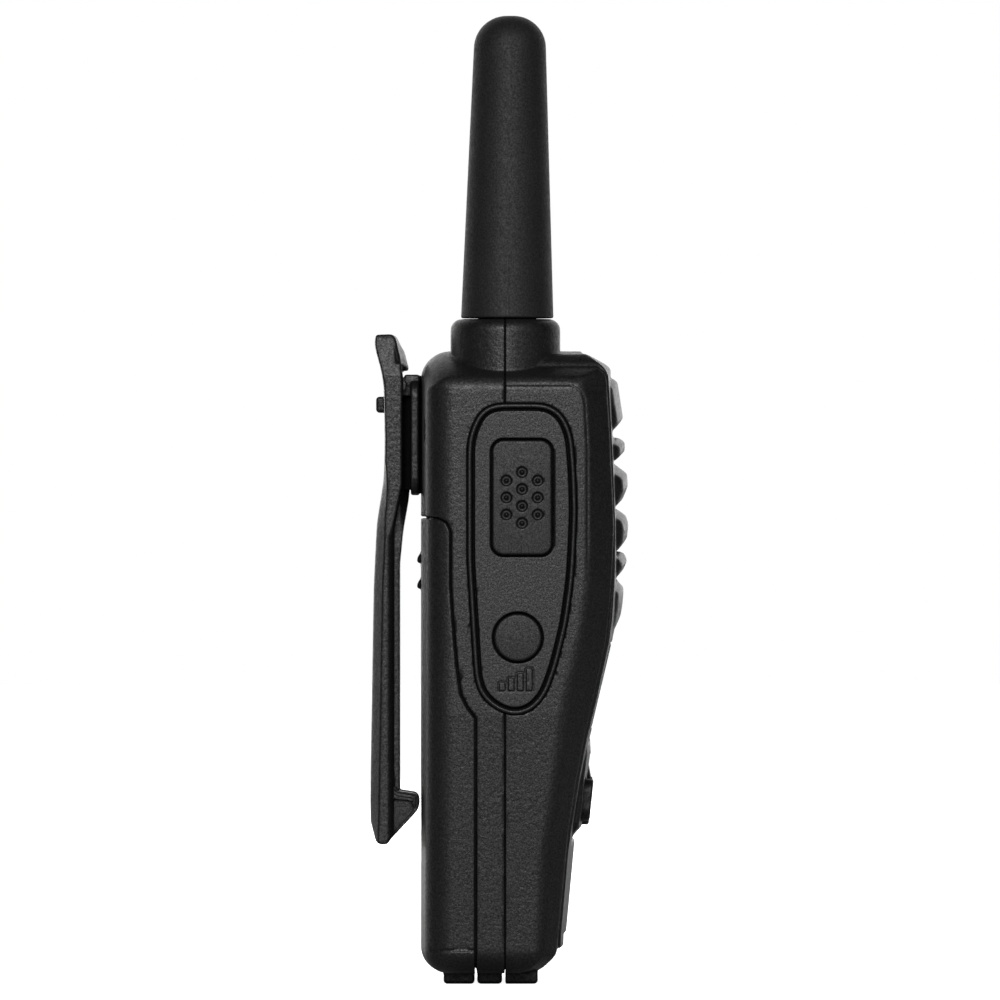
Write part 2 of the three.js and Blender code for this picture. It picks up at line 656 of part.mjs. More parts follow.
function mainBoard() {
  const { front, rear, halfX, bottom, top } = BOARD;
  const plate = box(-halfX, halfX, front, rear, bottom, top);
  const notchR = POST_R + 0.3;
  const feedR = SPIGOT.feedR + 0.2;
  const notches = SCREWS.map(([x, z]) => rod("y", x, z, front - 1, rear + 1, notchR, notchR, 16));
  const feed = rod("z", ANTENNA.x, ANTENNA.y, SPIGOT.feedFoot, 102, feedR, feedR, 12);
  return plate.subtract(all([...notches, feed]));
}

function rfShield() {
  const can = box(-12, 12, BOARD.rear + 0.02, -1.8, 64.5, 77.5);
  return can.subtract(box(-11.6, 11.6, BOARD.rear - 1, -2.1, 64.9, 77.1));
}

function microphone() {
  const { x, z, r, front } = MICROPHONE;
  return rod("y", x, z, front, BOARD.front - 0.02, r, r, 20);
}

// ---------------------------------------------------------------- battery
function cellAt(index, up) {
  const x = (index - 1) * CELL.pitch;
  const { r, length, nubR, nub, y } = CELL;
  const low = BAY.bottom + PLATE.gap + PLATE.thick + 0.1;
  const high = BAY.top - PLATE.gap - PLATE.thick - 0.1;
  const from = up ? high - nub - length : low + nub;
  const can = rod("z", x, y, from, from + length, r, r, 24);
  const nubFrom = up ? high - nub - 0.1 : low;
  return can.add(rod("z", x, y, nubFrom, nubFrom + nub + 0.1, nubR, nubR, 14));
}

function cellSpring(index, up) {
  const x = (index - 1) * CELL.pitch;
  const points = [];
  const turns = 3;
  const height = 3.2;
  const wireR = 0.3;
  for (let i = 0; i <= turns * 8; i++) {
    const s = i / (turns * 8);
    const r = 3.6 - 1.6 * s;
    const angle = s * turns * 2 * Math.PI;
    const rise = wireR + 0.05 + height * s;
    const z = up ? BAY.bottom + rise : BAY.top - rise;
    points.push(new THREE.Vector3(x + r * Math.cos(angle), CELL.y + r * Math.sin(angle), z));
  }
  return wire(points, wireR, turns * 10);
}

function contactPlate(index, up) {
  const x = (index - 1) * CELL.pitch;
  const z = up ? BAY.top - PLATE.gap - PLATE.thick : BAY.bottom + PLATE.gap;
  const notch = box(x - 1, x + 1, 7.2, 10, z - 1, z + 2);
  return box(x - 4.6, x + 4.6, 0, 8.2, z, z + PLATE.thick).subtract(notch);
}

function housingScrew([x, z], index) {
  const seat = screwSeat(index) + 0.02;
  const { shankR, headR, head, tip, slotHalf, slotReach, slotDepth } = SCREW;
  const made = rod("y", x, z, seat, seat + head, headR, headR * 0.8, 18);
  const shank = rod("y", x, z, tip, seat + 0.3, shankR, shankR, 12);
  const slot = (halfX, halfZ) =>
    box(x - halfX, x + halfX, seat + head - slotDepth, seat + head + 1, z - halfZ, z + halfZ);
  const cross = slot(slotReach, slotHalf).add(slot(slotHalf, slotReach));
  return made.add(shank).subtract(cross);
}

// ---------------------------------------------------------------- belt clip
function pinBore(half) {
  const r = CLIP_PIN.r + 0.05;
  return rod("x", CLIP_PIN.y, CLIP_PIN.z, -half, half, r, r, 16);
}

function clipBase() {
  const { bottom, top, inner, outer: face, earHalf, ear, earR } = CLIP_PLATE;
  const { y, z } = CLIP_PIN;
  const plate = alongY(roundedRectangle(-CLIP_HALF, CLIP_HALF, bottom, top, 3), inner, face, 3);
  const bar = box(-earHalf, earHalf, inner, face + 0.5, top - 1.7, top + 0.8);
  const neck = box(-RAIL.neck, RAIL.neck, RAIL.headOut - 0.5, inner + 0.3, RAIL.bottom, RAIL.top);
  const head = box(-RAIL.head, RAIL.head, RAIL.headIn, RAIL.headOut, RAIL.bottom, RAIL.top);
  const ears = [-earHalf, earHalf - ear].map((x) => {
    const lug = rod("x", y, z, x, x + ear, earR, earR, 20);
    return lug.add(box(x, x + ear, face - 0.3, y, z - 1.2, z + 1.2));
  });
  return all([plate, bar, neck, head, ...ears]).subtract(pinBore(CLIP_HALF));
}

function clipLever() {
  const back = [
    [16.4, 108.2], [19.2, 108.1], [19.6, 107], [18.4, 102.5], [17.9, 99.5], [17.75, 90], [17.9, 84],
    [19.1, 76.5], [19.6, 66], [20.2, 30], [20, 26.5], [19.2, 23.7], [18.4, 23.1], [17.2, 23.1], [16.5, 24],
  ];
  const hook = [[12.4, 28.4], [11.9, 29.2], [11.85, 30.6], [12.3, 31.5], [16, 32]];
  const inside = [[15.9, 40], [15.5, 79.5], [14.7, 82], [14.66, 100.5], [15.3, 104.5], [15.8, 107.4]];
  const rib = [
    [15.15, 33.5], [15.15, 70], [14.6, 75.5], [13.7, 80.5], [13.45, 83], [13.45, 97.4],
    [17, 97.4], [17, 33.5],
  ];
  const bar = alongX(polygon([...back, ...hook, ...inside].reverse()), -CLIP_HALF, CLIP_HALF);
  const stiffener = alongX(polygon([...rib].reverse()), -CLIP_RIB_HALF, CLIP_RIB_HALF);
  const cheeks = [-9.9, CLIP_POCKET].map((x) => rod("x", CLIP_PIN.y, CLIP_PIN.z, x, x + 1.5, 1.7, 1.7, 20));
  const knob = alongX(roundedRectangle(17.4, 19.2, 95.1, 97.8, 0.6), -2.2, 2.2);
  const pocket = box(-CLIP_POCKET, CLIP_POCKET, 12, 16.95, 97.65, 101.55);
  const passage = box(-DOOR_RIB_HALF - 0.4, DOOR_RIB_HALF + 0.4, 10, 15.4, 22, 33);
  const kept = all([bar, stiffener, knob]).subtract(pocket.add(passage));
  return kept.add(all(cheeks)).subtract(pinBore(CLIP_PIN.half + 0.2));
}

function clipPin() {
  const { y, z, r, half } = CLIP_PIN;
  return rod("x", y, z, -half, half, r, r, 16);
}

function clipSpring() {
  const coilR = 1.1;
  const turns = 5;
  const points = [new THREE.Vector3(-4, coilR, 1)];
  for (let i = 0; i <= turns * 8; i++) {
    const angle = (i / 8) * 2 * Math.PI;
    const x = -4 + (8 * i) / (turns * 8);
    points.push(new THREE.Vector3(x, coilR * Math.cos(angle), -coilR * Math.sin(angle)));
  }
  points.push(new THREE.Vector3(4, coilR, 1));
  return wire(points, 0.2, turns * 10).translate([0, CLIP_PIN.y, CLIP_PIN.z]);
}

// ---------------------------------------------------------------- assembly
const finishes = {
  shell: { color: 0x1b1b1c, roughness: 0.55, metalness: 0 },
  rubber: { color: 0x161617, roughness: 0.75, metalness: 0 },
  glass: { color: 0x0d1214, roughness: 0.08, metalness: 0 },
  display: { color: 0x5f6b5a, roughness: 0.3, metalness: 0 },
  board: { color: 0x1d4a2c, roughness: 0.5, metalness: 0 },
  steel: { color: 0x9a9b9c, roughness: 0.35, metalness: 1 },
  brass: { color: 0xb08d4a, roughness: 0.35, metalness: 1 },
  paper: { color: 0x2a2724, roughness: 0.9, metalness: 0 },
  cell: { color: 0x7c8286, roughness: 0.35, metalness: 0.6 },
};

const radio = new THREE.Group();

function addNode(name, made, finish) {
  const mesh = new THREE.Mesh(geometryOf(made), new THREE.MeshStandardMaterial(finishes[finish]));
  mesh.name = name;
  radio.add(mesh);
}

addNode("front_housing", frontHousing(), "shell");
addNode("rear_housing", rearHousing(), "shell");
addNode("battery_door", batteryDoor(), "shell");
addNode("side_panel", sidePanel(), "shell");
addNode("ptt_button", pttButton(), "rubber");
addNode("squelch_button", squelchButton(), "rubber");
addNode("ptt_switch", tactSwitch(PTT.z, -1.9), "steel");
addNode("squelch_switch", tactSwitch(SQUELCH.z, -2.6), "steel");
addNode("jack_cover", jackCover(), "rubber");
addNode("jack_socket", jackSocket(), "steel");
addNode("antenna_sleeve", antennaSleeve(), "rubber");
addNode("antenna_coil", antennaCoil(), "brass");
addNode("lcd_window", onScreen(screenPlate(0, 0.3, SCREEN.thick - 0.05), 0), "glass");
addNode("lcd_panel", onScreen(screenPlate(-0.8, 3.1, 4.5), 0), "display");
addNode("lcd_backlight", onScreen(screenPlate(-0.4, 4.7, 6), 0), "cell");
addNode("speaker_frame", speakerFrame(), "steel");
addNode("speaker_cone", speakerCone(), "paper");
addNode("speaker_magnet", speakerMagnet(), "steel");
addNode("speaker_felt", speakerFelt(), "paper");
for (const name of Object.keys(keyShapes)) addNode(name, keyOf(name), "rubber");
addNode("key_mat", keyMat(), "rubber");
addNode("main_board", mainBoard(), "board");
addNode("rf_shield", rfShield(), "steel");
addNode("microphone", microphone(), "steel");
[true, false, true].forEach((up, i) => {
  addNode(`cell_${i + 1}`, cellAt(i, up), "cell");
  addNode(`cell_spring_${i + 1}`, cellSpring(i, up), "steel");
  addNode(`contact_plate_${i + 1}`, contactPlate(i, up), "steel");
});
SCREWS.forEach((place, i) => addNode(`housing_screw_${i + 1}`, housingScrew(place, i), "steel"));
addNode("clip_base", clipBase(), "shell");
addNode("clip_lever", clipLever(), "shell");
addNode("clip_pin", clipPin(), "steel");
addNode("clip_spring", clipSpring(), "steel");

export default radio;
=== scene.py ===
"""Looks of the hand-held two-way radio: fine moulded shells, buttons, clip and antenna over the CAD frame.

Every moulded piece is described as a distance field in millimetres (negative inside) and turned into a
smooth mesh. The front of the radio faces -Y and the push-to-talk side faces -X.
"""
import math

import bpy
import numpy as np
import openvdb
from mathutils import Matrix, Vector


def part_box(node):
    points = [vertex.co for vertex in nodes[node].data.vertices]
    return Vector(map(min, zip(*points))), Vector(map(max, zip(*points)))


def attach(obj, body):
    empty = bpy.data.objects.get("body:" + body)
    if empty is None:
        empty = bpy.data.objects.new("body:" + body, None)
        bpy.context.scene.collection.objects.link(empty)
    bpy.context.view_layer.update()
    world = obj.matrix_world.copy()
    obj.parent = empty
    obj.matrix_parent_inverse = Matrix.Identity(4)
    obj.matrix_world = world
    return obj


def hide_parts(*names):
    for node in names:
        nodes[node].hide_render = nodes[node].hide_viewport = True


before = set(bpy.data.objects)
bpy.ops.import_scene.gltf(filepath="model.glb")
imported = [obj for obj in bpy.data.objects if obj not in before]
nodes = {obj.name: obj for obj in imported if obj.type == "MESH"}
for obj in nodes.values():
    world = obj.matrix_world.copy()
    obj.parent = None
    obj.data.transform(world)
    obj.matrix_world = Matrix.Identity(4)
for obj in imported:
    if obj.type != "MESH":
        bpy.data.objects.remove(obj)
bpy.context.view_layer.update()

MM = 0.001


def millimetres(node):
    """The low and high corners of a CAD node, in millimetres."""
    low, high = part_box(node)
    return np.array(low) / MM, np.array(high) / MM


# ---- driving dimensions
HALF_WIDTH = millimetres("rear_housing")[1][0]
REAR_Y = millimetres("rear_housing")[1][1]
COLLAR_TOP = millimetres("rear_housing")[1][2]
LOWER_HALF_WIDTH = HALF_WIDTH - 1.2
TAPER_FROM_Z = 45
BODY_BOTTOM = 1.9
BODY_TOP = 105.3
REAR_CROWN = 1.2
REAR_CORNER = 4.6
TOP_ROUND = 4.8
SHOULDER_Z = 100.3
SHOULDER_SLOPE = 0.7
BOTTOM_ROUND = 3.9
CHAMFER_WIDTH = 3.4
FACET_ROUND = [[45, 0.9], [75, 0.5]]
WALL = 1.7
PARTING_Y = -2.43
SEAM = 0.05
LINE_RADIUS = 0.2
LINE_FADE = [[60, 0.35], [74, 0]]
SHELL_STEP = 0.2
MIDDLE_STEP = 0.15
CLIP_STEP = 0.14
FINE_STEP = 0.1

# Side view lines of the body, [height, depth].
FRONT_LINE = [
    [1.9, -8.4], [3.1, -10.5], [4.1, -11.5], [5, -12.2], [8.5, -12.3], [22, -13.4], [34, -15.3],
    [40.3, -16.5], [47, -18.2], [57, -20.4], [61, -21.1], [68, -21.3], [84, -20.9], [101.3, -20.1],
    [102.4, -20.2], [103.1, -19.5], [105.3, -15.3],
]
RIM_LINE = [
    [1.9, -8], [5, -11], [25, -12.9], [34, -14.3], [41, -15.6], [47.8, -17.2], [57, -19.2],
    [62, -19.7], [68, -20.2], [76, -20.5], [92, -19.8], [101.3, -19.2], [105.3, -14.9],
]
CREASE_LINE = [
    [1.9, -7.6], [5.8, -8.3], [21, -9], [31.7, -10.6], [47, -12.6], [53.5, -14.2], [60.7, -15.6],
    [67, -16.2], [89, -16.2], [97, -15.8], [99.7, -14.9], [105.3, -12.5],
]
DOOR_LINE = [
    [0, 2.43], [44.3, 2.43], [46.1, 3.8], [48.3, 4.9], [53.5, 5.6], [60.5, 6.2], [66.4, 6.6],
    [75.3, 6.6], [76.7, 7.2], [77.4, 8.4], [77.6, 9.5],
]
PANEL_OUTLINE = [
    [-9.4, 96.5], [-12, 94.9], [-13.6, 91.3], [-14.1, 85], [-14.3, 78.5], [-14, 71.5], [-13.7, 67],
    [-12.7, 59.9], [-11, 53], [-9.3, 48.2], [-7, 45.5], [-3.8, 44.6], [-0.6, 45.9], [1.8, 48.2],
    [2.6, 51], [3.1, 59], [3.8, 70.5], [3.8, 90], [3.3, 92.1], [1.7, 95.4], [-0.6, 96.5],
]
# Louvre sections on the centre line, [depth, height].
LOUVRES = [
    [[-20.4, 100.9], [-21.3, 100.2], [-22.2, 94.2], [-21.2, 92.8], [-20.4, 92.5]],
    [[-20.4, 91], [-21.5, 90.9], [-22.5, 90.2], [-22.5, 88.7], [-21.7, 88], [-20.4, 87.7]],
    [[-20.8, 86.5], [-22.9, 84.9], [-23, 82.8], [-22.1, 80.6], [-20.8, 79.8]],
    [[-21, 79.1], [-22.7, 77.9], [-23.1, 76.5], [-22.9, 74.3], [-22, 72.9], [-20.8, 72.5]],
    [[-20.8, 72.2], [-22.4, 71.6], [-22.9, 70.4], [-22.2, 68.8], [-20.8, 67.8]],
    [[-20.8, 67.5], [-22.3, 65.9], [-22.2, 63.7], [-21.8, 61.2], [-21.1, 59.6], [-20, 57.4]],
]
LOUVRE_ROOT_Y = -18.5
LOUVRE_HALF = 19
LOUVRE_ARCH = 1.1
LOUVRE_CROWN = 1.1
LOUVRE_END_SLOPE = 0.8
LOUVRE_END_Y = -19.8
SLOT_HALF_WIDTH = 16
SLOT_HALF_HEIGHT = 0.42

COLLAR = {"x": -15.5, "y": -2.5, "r": 9.13, "round": 1.9}
ANTENNA = {"x": -15.5, "y": -2.8, "foot_r": 7.7, "tip_r": 6.0, "tip_z": 156.0, "round": 5.2}
SCREEN_TILT = math.radians(13.2)
SCREEN = {"y": -18.8, "z": 49.6, "half_x": 16.4, "half_z": 7.2, "thick": 1.1}

# The raised pad round the keys: its side view, [depth, height], and its plan.
KEY_BOSS_SIDE = [
    [-10, 23.6], [-13.6, 24.1], [-15.3, 26], [-15.9, 30], [-16.2, 34], [-16.75, 38.4], [-16.7, 39.8],
    [-16, 41.2], [-11, 42],
]
KEY_BOSS = {"half_x": 17.6, "half_z": 9.4, "corner": 4.2, "crown": 0.6}
KEY_CREST = 32.6
# Keys with straight sides: centre, half sizes and corner radius, seen from the front.
KEYS = {
    "key_down": ((0, 29.2), (7, 3.0), 2.6),
    "key_menu": ((-12, 30.5), (3, 3.5), 2.2),
    "key_call": ((12, 30.5), (3, 3.5), 2.2),
    "key_power": ((0, 39.3), (1.5, 1.5), 1.5),
}
ARCH_KEY = {"foot_z": 33.4, "crest_r": 11.3, "rise": 3.0, "half_x": 6.9}
KEY_LEAN = {"key_up": 0.16, "key_down": -0.1, "key_menu": -0.1, "key_call": -0.1, "key_power": 0.05}
KEY_SINK = {"key_up": 0, "key_down": 0, "key_menu": 0, "key_call": 0, "key_power": 0.2}

LOWER_PLATE = {"z": 16, "half_x": 18.6, "half_z": 7.8, "corner": 2.6, "crown": 1.0}
LOWER_PLATE_FACE = [[8.5, -12.7], [23.2, -14.1]]
MICROPHONE_HOLE = {"centre": (9, 16), "r": 0.55}
# Side view of the push-to-talk side, [depth, height].
PTT = {"centre": (-5.25, 80.9), "half_y": 4.95, "half_z": 9.5, "corner": 1.9}
SQUELCH = {"centre": (-4.56, 57.7), "r": 3.95}
SOCKET = (-8.7, 84.4)
# Housing screws: x, z, top of the boss, seat of the head.
SCREWS = [(-20.5, 92, 10.3, 5.4), (20.5, 92, 10.3, 5.4), (-20.5, 14, 2, 0.4), (20.5, 14, 2, 0.4)]
CELL_BAY = {"centre": (0, 33), "half_x": 18.1, "half_z": 25.8, "wall": 1.2}


# ---- distance fields
class Grid:
    """Sample points of a block of space, as three arrays that broadcast together."""

    def __init__(self, low, high, step, counts=None):
        self.low = np.array(low, float)
        self.step = step
        if counts is None:
            self.low = self.low - 3 * step
            counts = np.ceil((np.array(high) - self.low) / step).astype(int) + 4
        self.counts = counts
        axes = [(self.low[i] + step * np.arange(counts[i])).astype(np.float32) for i in range(3)]
        self.x = axes[0][:, None, None]
        self.y = axes[1][None, :, None]
        self.z = axes[2][None, None, :]

    def block(self, low, high):
        """The part of the grid between two corners, and the slices that pick it out."""
        first = np.clip(((np.array(low) - self.low) / self.step).astype(int), 0, self.counts)
        last = np.clip(((np.array(high) - self.low) / self.step).astype(int) + 2, first, self.counts)
        picked = tuple(slice(a, b) for a, b in zip(first, last))
        return Grid(self.low + first * self.step, None, self.step, last - first), picked


def meet(a, b, r=0.0):
    """What is inside both, with the edge between them rounded to radius r."""
    if np.all(r == 0):
        return np.maximum(a, b)
    outside = np.hypot(np.maximum(a + r, 0), np.maximum(b + r, 0))
    return np.minimum(np.maximum(a, b), -r) + outside


def join(a, b, r=0.0):
    """What is inside either, with the corner between them filled to radius r."""
    return -meet(-a, -b, r)


def cut(a, b, r=0.0):
    """What is inside the first but not the second."""
    return meet(a, -b, r)


def slab(value, low, high):
    return np.maximum(low - value, value - high)


def rounded_rectangle(u, v, centre, half_u, half_v, r):
    du = np.abs(u - centre[0]) - (half_u - r)
    dv = np.abs(v - centre[1]) - (half_v - r)
    return np.hypot(np.maximum(du, 0), np.maximum(dv, 0)) + np.minimum(np.maximum(du, dv), 0) - r


def disc(u, v, centre, r):
    return np.hypot(u - centre[0], v - centre[1]) - r


def outline(u, v, points):
    """Signed distance to a closed outline of straight sides."""
    nearest = np.float32(1e9)
    crossings = False
    ends = list(points[1:]) + [points[0]]
    for (u0, v0), (u1, v1) in zip(points, ends):
        du, dv = u1 - u0, v1 - v0
        along = np.clip(((u - u0) * du + (v - v0) * dv) / (du * du + dv * dv), 0, 1)
        nearest = np.minimum(nearest, np.hypot(u - u0 - along * du, v - v0 - along * dv))
        if dv:
            spans = (v0 > v) != (v1 > v)
            crossings = crossings ^ (spans & (u < u0 + (v - v0) * du / dv))
    return np.where(crossings, -nearest, nearest)


def softened(points, soften, spacing=0.8):
    """A closed outline with its corners softened over some millimetres, as many short sides."""
    fine = 0.1
    p = np.array(list(points) + [points[0]], float)
    along = np.concatenate([[0], np.cumsum(np.hypot(*np.diff(p, axis=0).T))])
    at = np.arange(0, along[-1], fine)
    line = np.stack([np.interp(at, along, p[:, i]) for i in (0, 1)], 1)
    reach = int(4 * soften / fine)
    weights = np.exp(-0.5 * (np.arange(-reach, reach + 1) * fine / soften) ** 2)
    padded = np.concatenate([line[-reach:], line, line[:reach]])
    smooth = [np.convolve(padded[:, i], weights / weights.sum(), "valid") for i in (0, 1)]
    return np.stack(smooth, 1)[:: int(spacing / fine)].tolist()


def follow(line, z, soften=0.8):
    """The depth of a side view line at each height, with its corners softened over some millimetres."""
    step = 0.1
    heights = np.arange(-10, 125, step)
    line = np.array(line, float)
    depths = np.interp(heights, line[:, 0], line[:, 1])
    reach = int(4 * soften / step)
    weights = np.exp(-0.5 * (np.arange(-reach, reach + 1) * step / soften) ** 2)
    depths = np.convolve(np.pad(depths, reach, "edge"), weights / weights.sum(), "valid")
    return np.interp(z, heights, depths).astype(np.float32)


def slope_of(line, z, soften=0.8):
    """Length of a side view line per unit of height, to turn depths into distances."""
    rise = (follow(line, z + 0.2, soften) - follow(line, z - 0.2, soften)) / 0.4
    return np.sqrt(1 + rise * rise)


def at_screen(y, z):
    """Depth and height measured square to the screen, from the middle of its face."""
    cos, sin = math.cos(SCREEN_TILT), math.sin(SCREEN_TILT)
    dy, dz = y - SCREEN["y"], z - SCREEN["z"]
    return dy * cos + dz * sin, dz * cos - dy * sin


# ---- meshes from fields
def sampled(values, points):
    """Trilinear reading of an array at points given in its own index units."""
    limit = np.array(values.shape) - 1.001
    points = np.clip(points, 0, limit)
    base = points.astype(int)
    part = points - base
    total = 0
    for corner in range(8):
        offset = np.array([corner & 1, corner >> 1 & 1, corner >> 2])
        at = base + offset
        weight = np.prod(np.where(offset, part, 1 - part), axis=1)
        total = total + weight * values[at[:, 0], at[:, 1], at[:, 2]]
    return total


def surface_of(grid, field, adaptivity):
    """Points, faces and outward normals of the zero surface of a field."""
    band = 4 * grid.step
    values = np.clip(np.broadcast_to(field, grid.counts), -band, band).astype(np.float32)
    volume = openvdb.FloatGrid(band)
    volume.copyFromArray(np.ascontiguousarray(values))
    points, triangles, quads = volume.convertToPolygons(isovalue=0.0, adaptivity=adaptivity)
    reach = 0.75
    normals = np.stack(
        [sampled(values, points + reach * way) - sampled(values, points - reach * way) for way in np.eye(3)],
        axis=1,
    )
    normals /= np.maximum(np.linalg.norm(normals, axis=1, keepdims=True), 1e-9)
    return (grid.low + points * grid.step) * MM, triangles, quads, normals


def piece(name, grid, field, adaptivity=0.008):
    """A smooth mesh object of the field's inside."""
    points, triangles, quads, normals = surface_of(grid, field, adaptivity)
    faces = [quads, triangles]
    corners = np.concatenate([f.reshape(-1) for f in faces]).astype(np.int32)
    sizes = np.concatenate([np.full(len(faces[0]), 4), np.full(len(faces[1]), 3)]).astype(np.int32)
    mesh = bpy.data.meshes.new(name)
    mesh.vertices.add(len(points))
    mesh.vertices.foreach_set("co", points.astype(np.float32).ravel())
    mesh.loops.add(len(corners))
    mesh.loops.foreach_set("vertex_index", corners)
    mesh.polygons.add(len(sizes))
    mesh.polygons.foreach_set("loop_start", np.concatenate([[0], np.cumsum(sizes)[:-1]]).astype(np.int32))
    mesh.polygons.foreach_set("loop_total", sizes)
    mesh.update(calc_edges=True)
    mesh.validate()
    mesh.polygons.foreach_set("use_smooth", np.ones(len(mesh.polygons), bool))
    if len(mesh.vertices) == len(normals):
        mesh.normals_split_custom_set_from_vertices(normals.tolist())
    made = bpy.data.objects.new(name, mesh)
    bpy.context.scene.collection.objects.link(made)
    return made


def place(made, body, slot, material, *stands_for):
    made.data.materials.clear()
    made.data.materials.append(material)
    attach(made, body)
    if stands_for:
        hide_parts(*stands_for)
    return made


# ---- body shape
def half_width(z):
    return np.interp(z, [5, TAPER_FROM_Z], [LOWER_HALF_WIDTH, HALF_WIDTH]).astype(np.float32)


def shoulder(x, z):
    """The slopes that lead from both sides up to the top."""
    return (z - SHOULDER_Z + SHOULDER_SLOPE * (x - half_width(z))) / math.hypot(1, SHOULDER_SLOPE)


def body_field(grid):
    """The body's outside, without its collar and front relief."""
    x, y, z = np.abs(grid.x), grid.y, grid.z
    side = x - half_width(z)
    rear = y - (REAR_Y - REAR_CROWN * (x / HALF_WIDTH) ** 2)
    crease, rim = follow(CREASE_LINE, z), follow(RIM_LINE, z, 0.5)
    reach = np.hypot(crease - rim, CHAMFER_WIDTH)
    facet = (side * (crease - rim) - (y - crease) * CHAMFER_WIDTH) / reach
    front = (rim - y) / slope_of(RIM_LINE, z)
    field = meet(meet(rear, z - BODY_TOP, TOP_ROUND), meet(side, shoulder(x, z), 1.2), REAR_CORNER)
    field = meet(field, facet, np.interp(z, *zip(*FACET_ROUND)))
    field = meet(field, BODY_BOTTOM - z, BOTTOM_ROUND)
    return meet(field, front, 0.25)


def collar_field(grid):
    """The round collar at the antenna's foot."""
    barrel = disc(grid.x, grid.y, (COLLAR["x"], COLLAR["y"]), COLLAR["r"])
    capped = meet(barrel, grid.z - COLLAR_TOP, COLLAR["round"])
    return np.maximum(capped, 96 - grid.z)


def antenna_seat(grid):
    """The hole in the collar that takes the antenna's spigot."""
    bore = disc(grid.x, grid.y, (ANTENNA["x"], ANTENNA["y"]), 4.95)
    return np.maximum(bore, 102.2 - grid.z)


def panel_distance(grid):
    return outline(grid.y[0], grid.z[0], softened(PANEL_OUTLINE, 1.3))[None]


def panel_seat(grid):
    """The pocket that the side panel sits in, with the well behind its buttons."""
    inside = panel_distance(grid)
    seat = np.maximum(inside - 0.07, grid.x + HALF_WIDTH - 1.4)
    well = np.maximum(inside + 1, np.maximum(slab(grid.y, -11.8, 1.2), slab(grid.z, 52.4, 92.2)))
    return np.minimum(seat, np.maximum(well, grid.x + 22.6))


def rear_side(grid, skin, gap):
    """What lies behind the parting plane, with a tongue along the inner half of the wall."""
    tongue = np.maximum(skin + 0.85 + gap, PARTING_Y - 1.2 - grid.y + gap)
    return np.minimum(PARTING_Y + gap - grid.y, tongue)


def foot_pad(grid, y0, y1):
    """One of the three pads that the radio stands on."""
    half_y, height = (y1 - y0) / 2, BODY_BOTTOM + 1
    section = rounded_rectangle(grid.y, grid.z, ((y0 + y1) / 2, height / 2), half_y, height / 2, 0.6)
    return meet(section, np.abs(grid.x) - 17, 0.5)


def shell_grid(node):
    low, high = millimetres(node)
    return Grid(low, high, SHELL_STEP)


# ---- front housing
def front_face(grid, field):
    """Raised front plate, crowned across and inset from the rim."""
    x, y, z = np.abs(grid.x), grid.y, grid.z
    half = half_width(z)
    rim, face = follow(RIM_LINE, z, 0.5), follow(FRONT_LINE, z, 0.35)
    crowned = face + (rim - face) * 0.6 * (x / (half - CHAMFER_WIDTH)) ** 2
    plate = (crowned - y) / slope_of(FRONT_LINE, z)
    edge = meet(x - (half - CHAMFER_WIDTH - 0.55), np.maximum(6 - z, z - 104.8), 3.0)
    within = np.maximum(y + 5, shoulder(x, z) - 0.1)
    return join(field, meet(meet(plate, edge, 0.3), within, 0.3), 0.1)


def grille(grid, field):
    """Arched louvres over the speaker with slots between them."""
    low, high = [-LOUVRE_HALF - 1, -24, 56], [LOUVRE_HALF + 1, -16, 102]
    part, picked = grid.block(low, high)
    bow = (part.x / LOUVRE_HALF) ** 2
    y, z = part.y - LOUVRE_CROWN * bow, part.z + LOUVRE_ARCH * bow
    lean = LOUVRE_END_SLOPE * np.maximum(LOUVRE_END_Y - part.y, 0)
    ends = (np.abs(part.x) - LOUVRE_HALF + lean) / math.hypot(1, LOUVRE_END_SLOPE)
    made = field[picked]
    for section in LOUVRES:
        root_low, root_high = section[-1][1], section[0][1]
        closed = section + [[LOUVRE_ROOT_Y, root_low], [LOUVRE_ROOT_Y, root_high]]
        bar = outline(y, z, softened(closed, 0.22, 0.4))
        made = join(made, meet(bar, ends, 0.5), 0.12)
    for upper, lower in zip(LOUVRES, LOUVRES[1:]):
        middle = (upper[-1][1] + lower[0][1]) / 2
        slot = meet(np.abs(z - middle) - SLOT_HALF_HEIGHT, np.abs(part.x) - SLOT_HALF_WIDTH, 0.3)
        made = cut(made, slot, 0.15)
    field[picked] = made
    return field


def key_boss(grid, field):
    """The raised pad round the keys."""
    part, picked = grid.block([-19, -18, 22], [19, -11, 44])
    boss = KEY_BOSS
    section = outline(part.y - boss["crown"] * (part.x / 17) ** 2, part.z, KEY_BOSS_SIDE)
    plan = rounded_rectangle(part.x, part.z, (0, KEY_CREST), boss["half_x"], boss["half_z"], boss["corner"])
    field[picked] = join(field[picked], meet(section, plan, 0.6), 0.3)
    return field


def lower_plate(grid, field):
    """The shallow raised plate below the keys."""
    part, picked = grid.block([-20, -16, 6], [20, -10, 26])
    plate = LOWER_PLATE
    (z0, y0), (z1, y1) = LOWER_PLATE_FACE
    level = y0 + (y1 - y0) / (z1 - z0) * (part.z - z0)
    face = level + plate["crown"] * (part.x / plate["half_x"]) ** 2 - part.y
    plan = rounded_rectangle(
        part.x, part.z, (0, plate["z"]), plate["half_x"], plate["half_z"], plate["corner"]
    )
    field[picked] = join(field[picked], meet(face, plan, 0.35), 0.15)
    return field


def arch_key(u, v):
    """A key with a flat foot and a round crest."""
    foot_z, crest_r = ARCH_KEY["foot_z"], ARCH_KEY["crest_r"]
    crest = disc(u, v, (0, foot_z + ARCH_KEY["rise"] - crest_r), crest_r)
    return meet(meet(crest, foot_z - v, 0.4), np.abs(u) - ARCH_KEY["half_x"], 0.3)


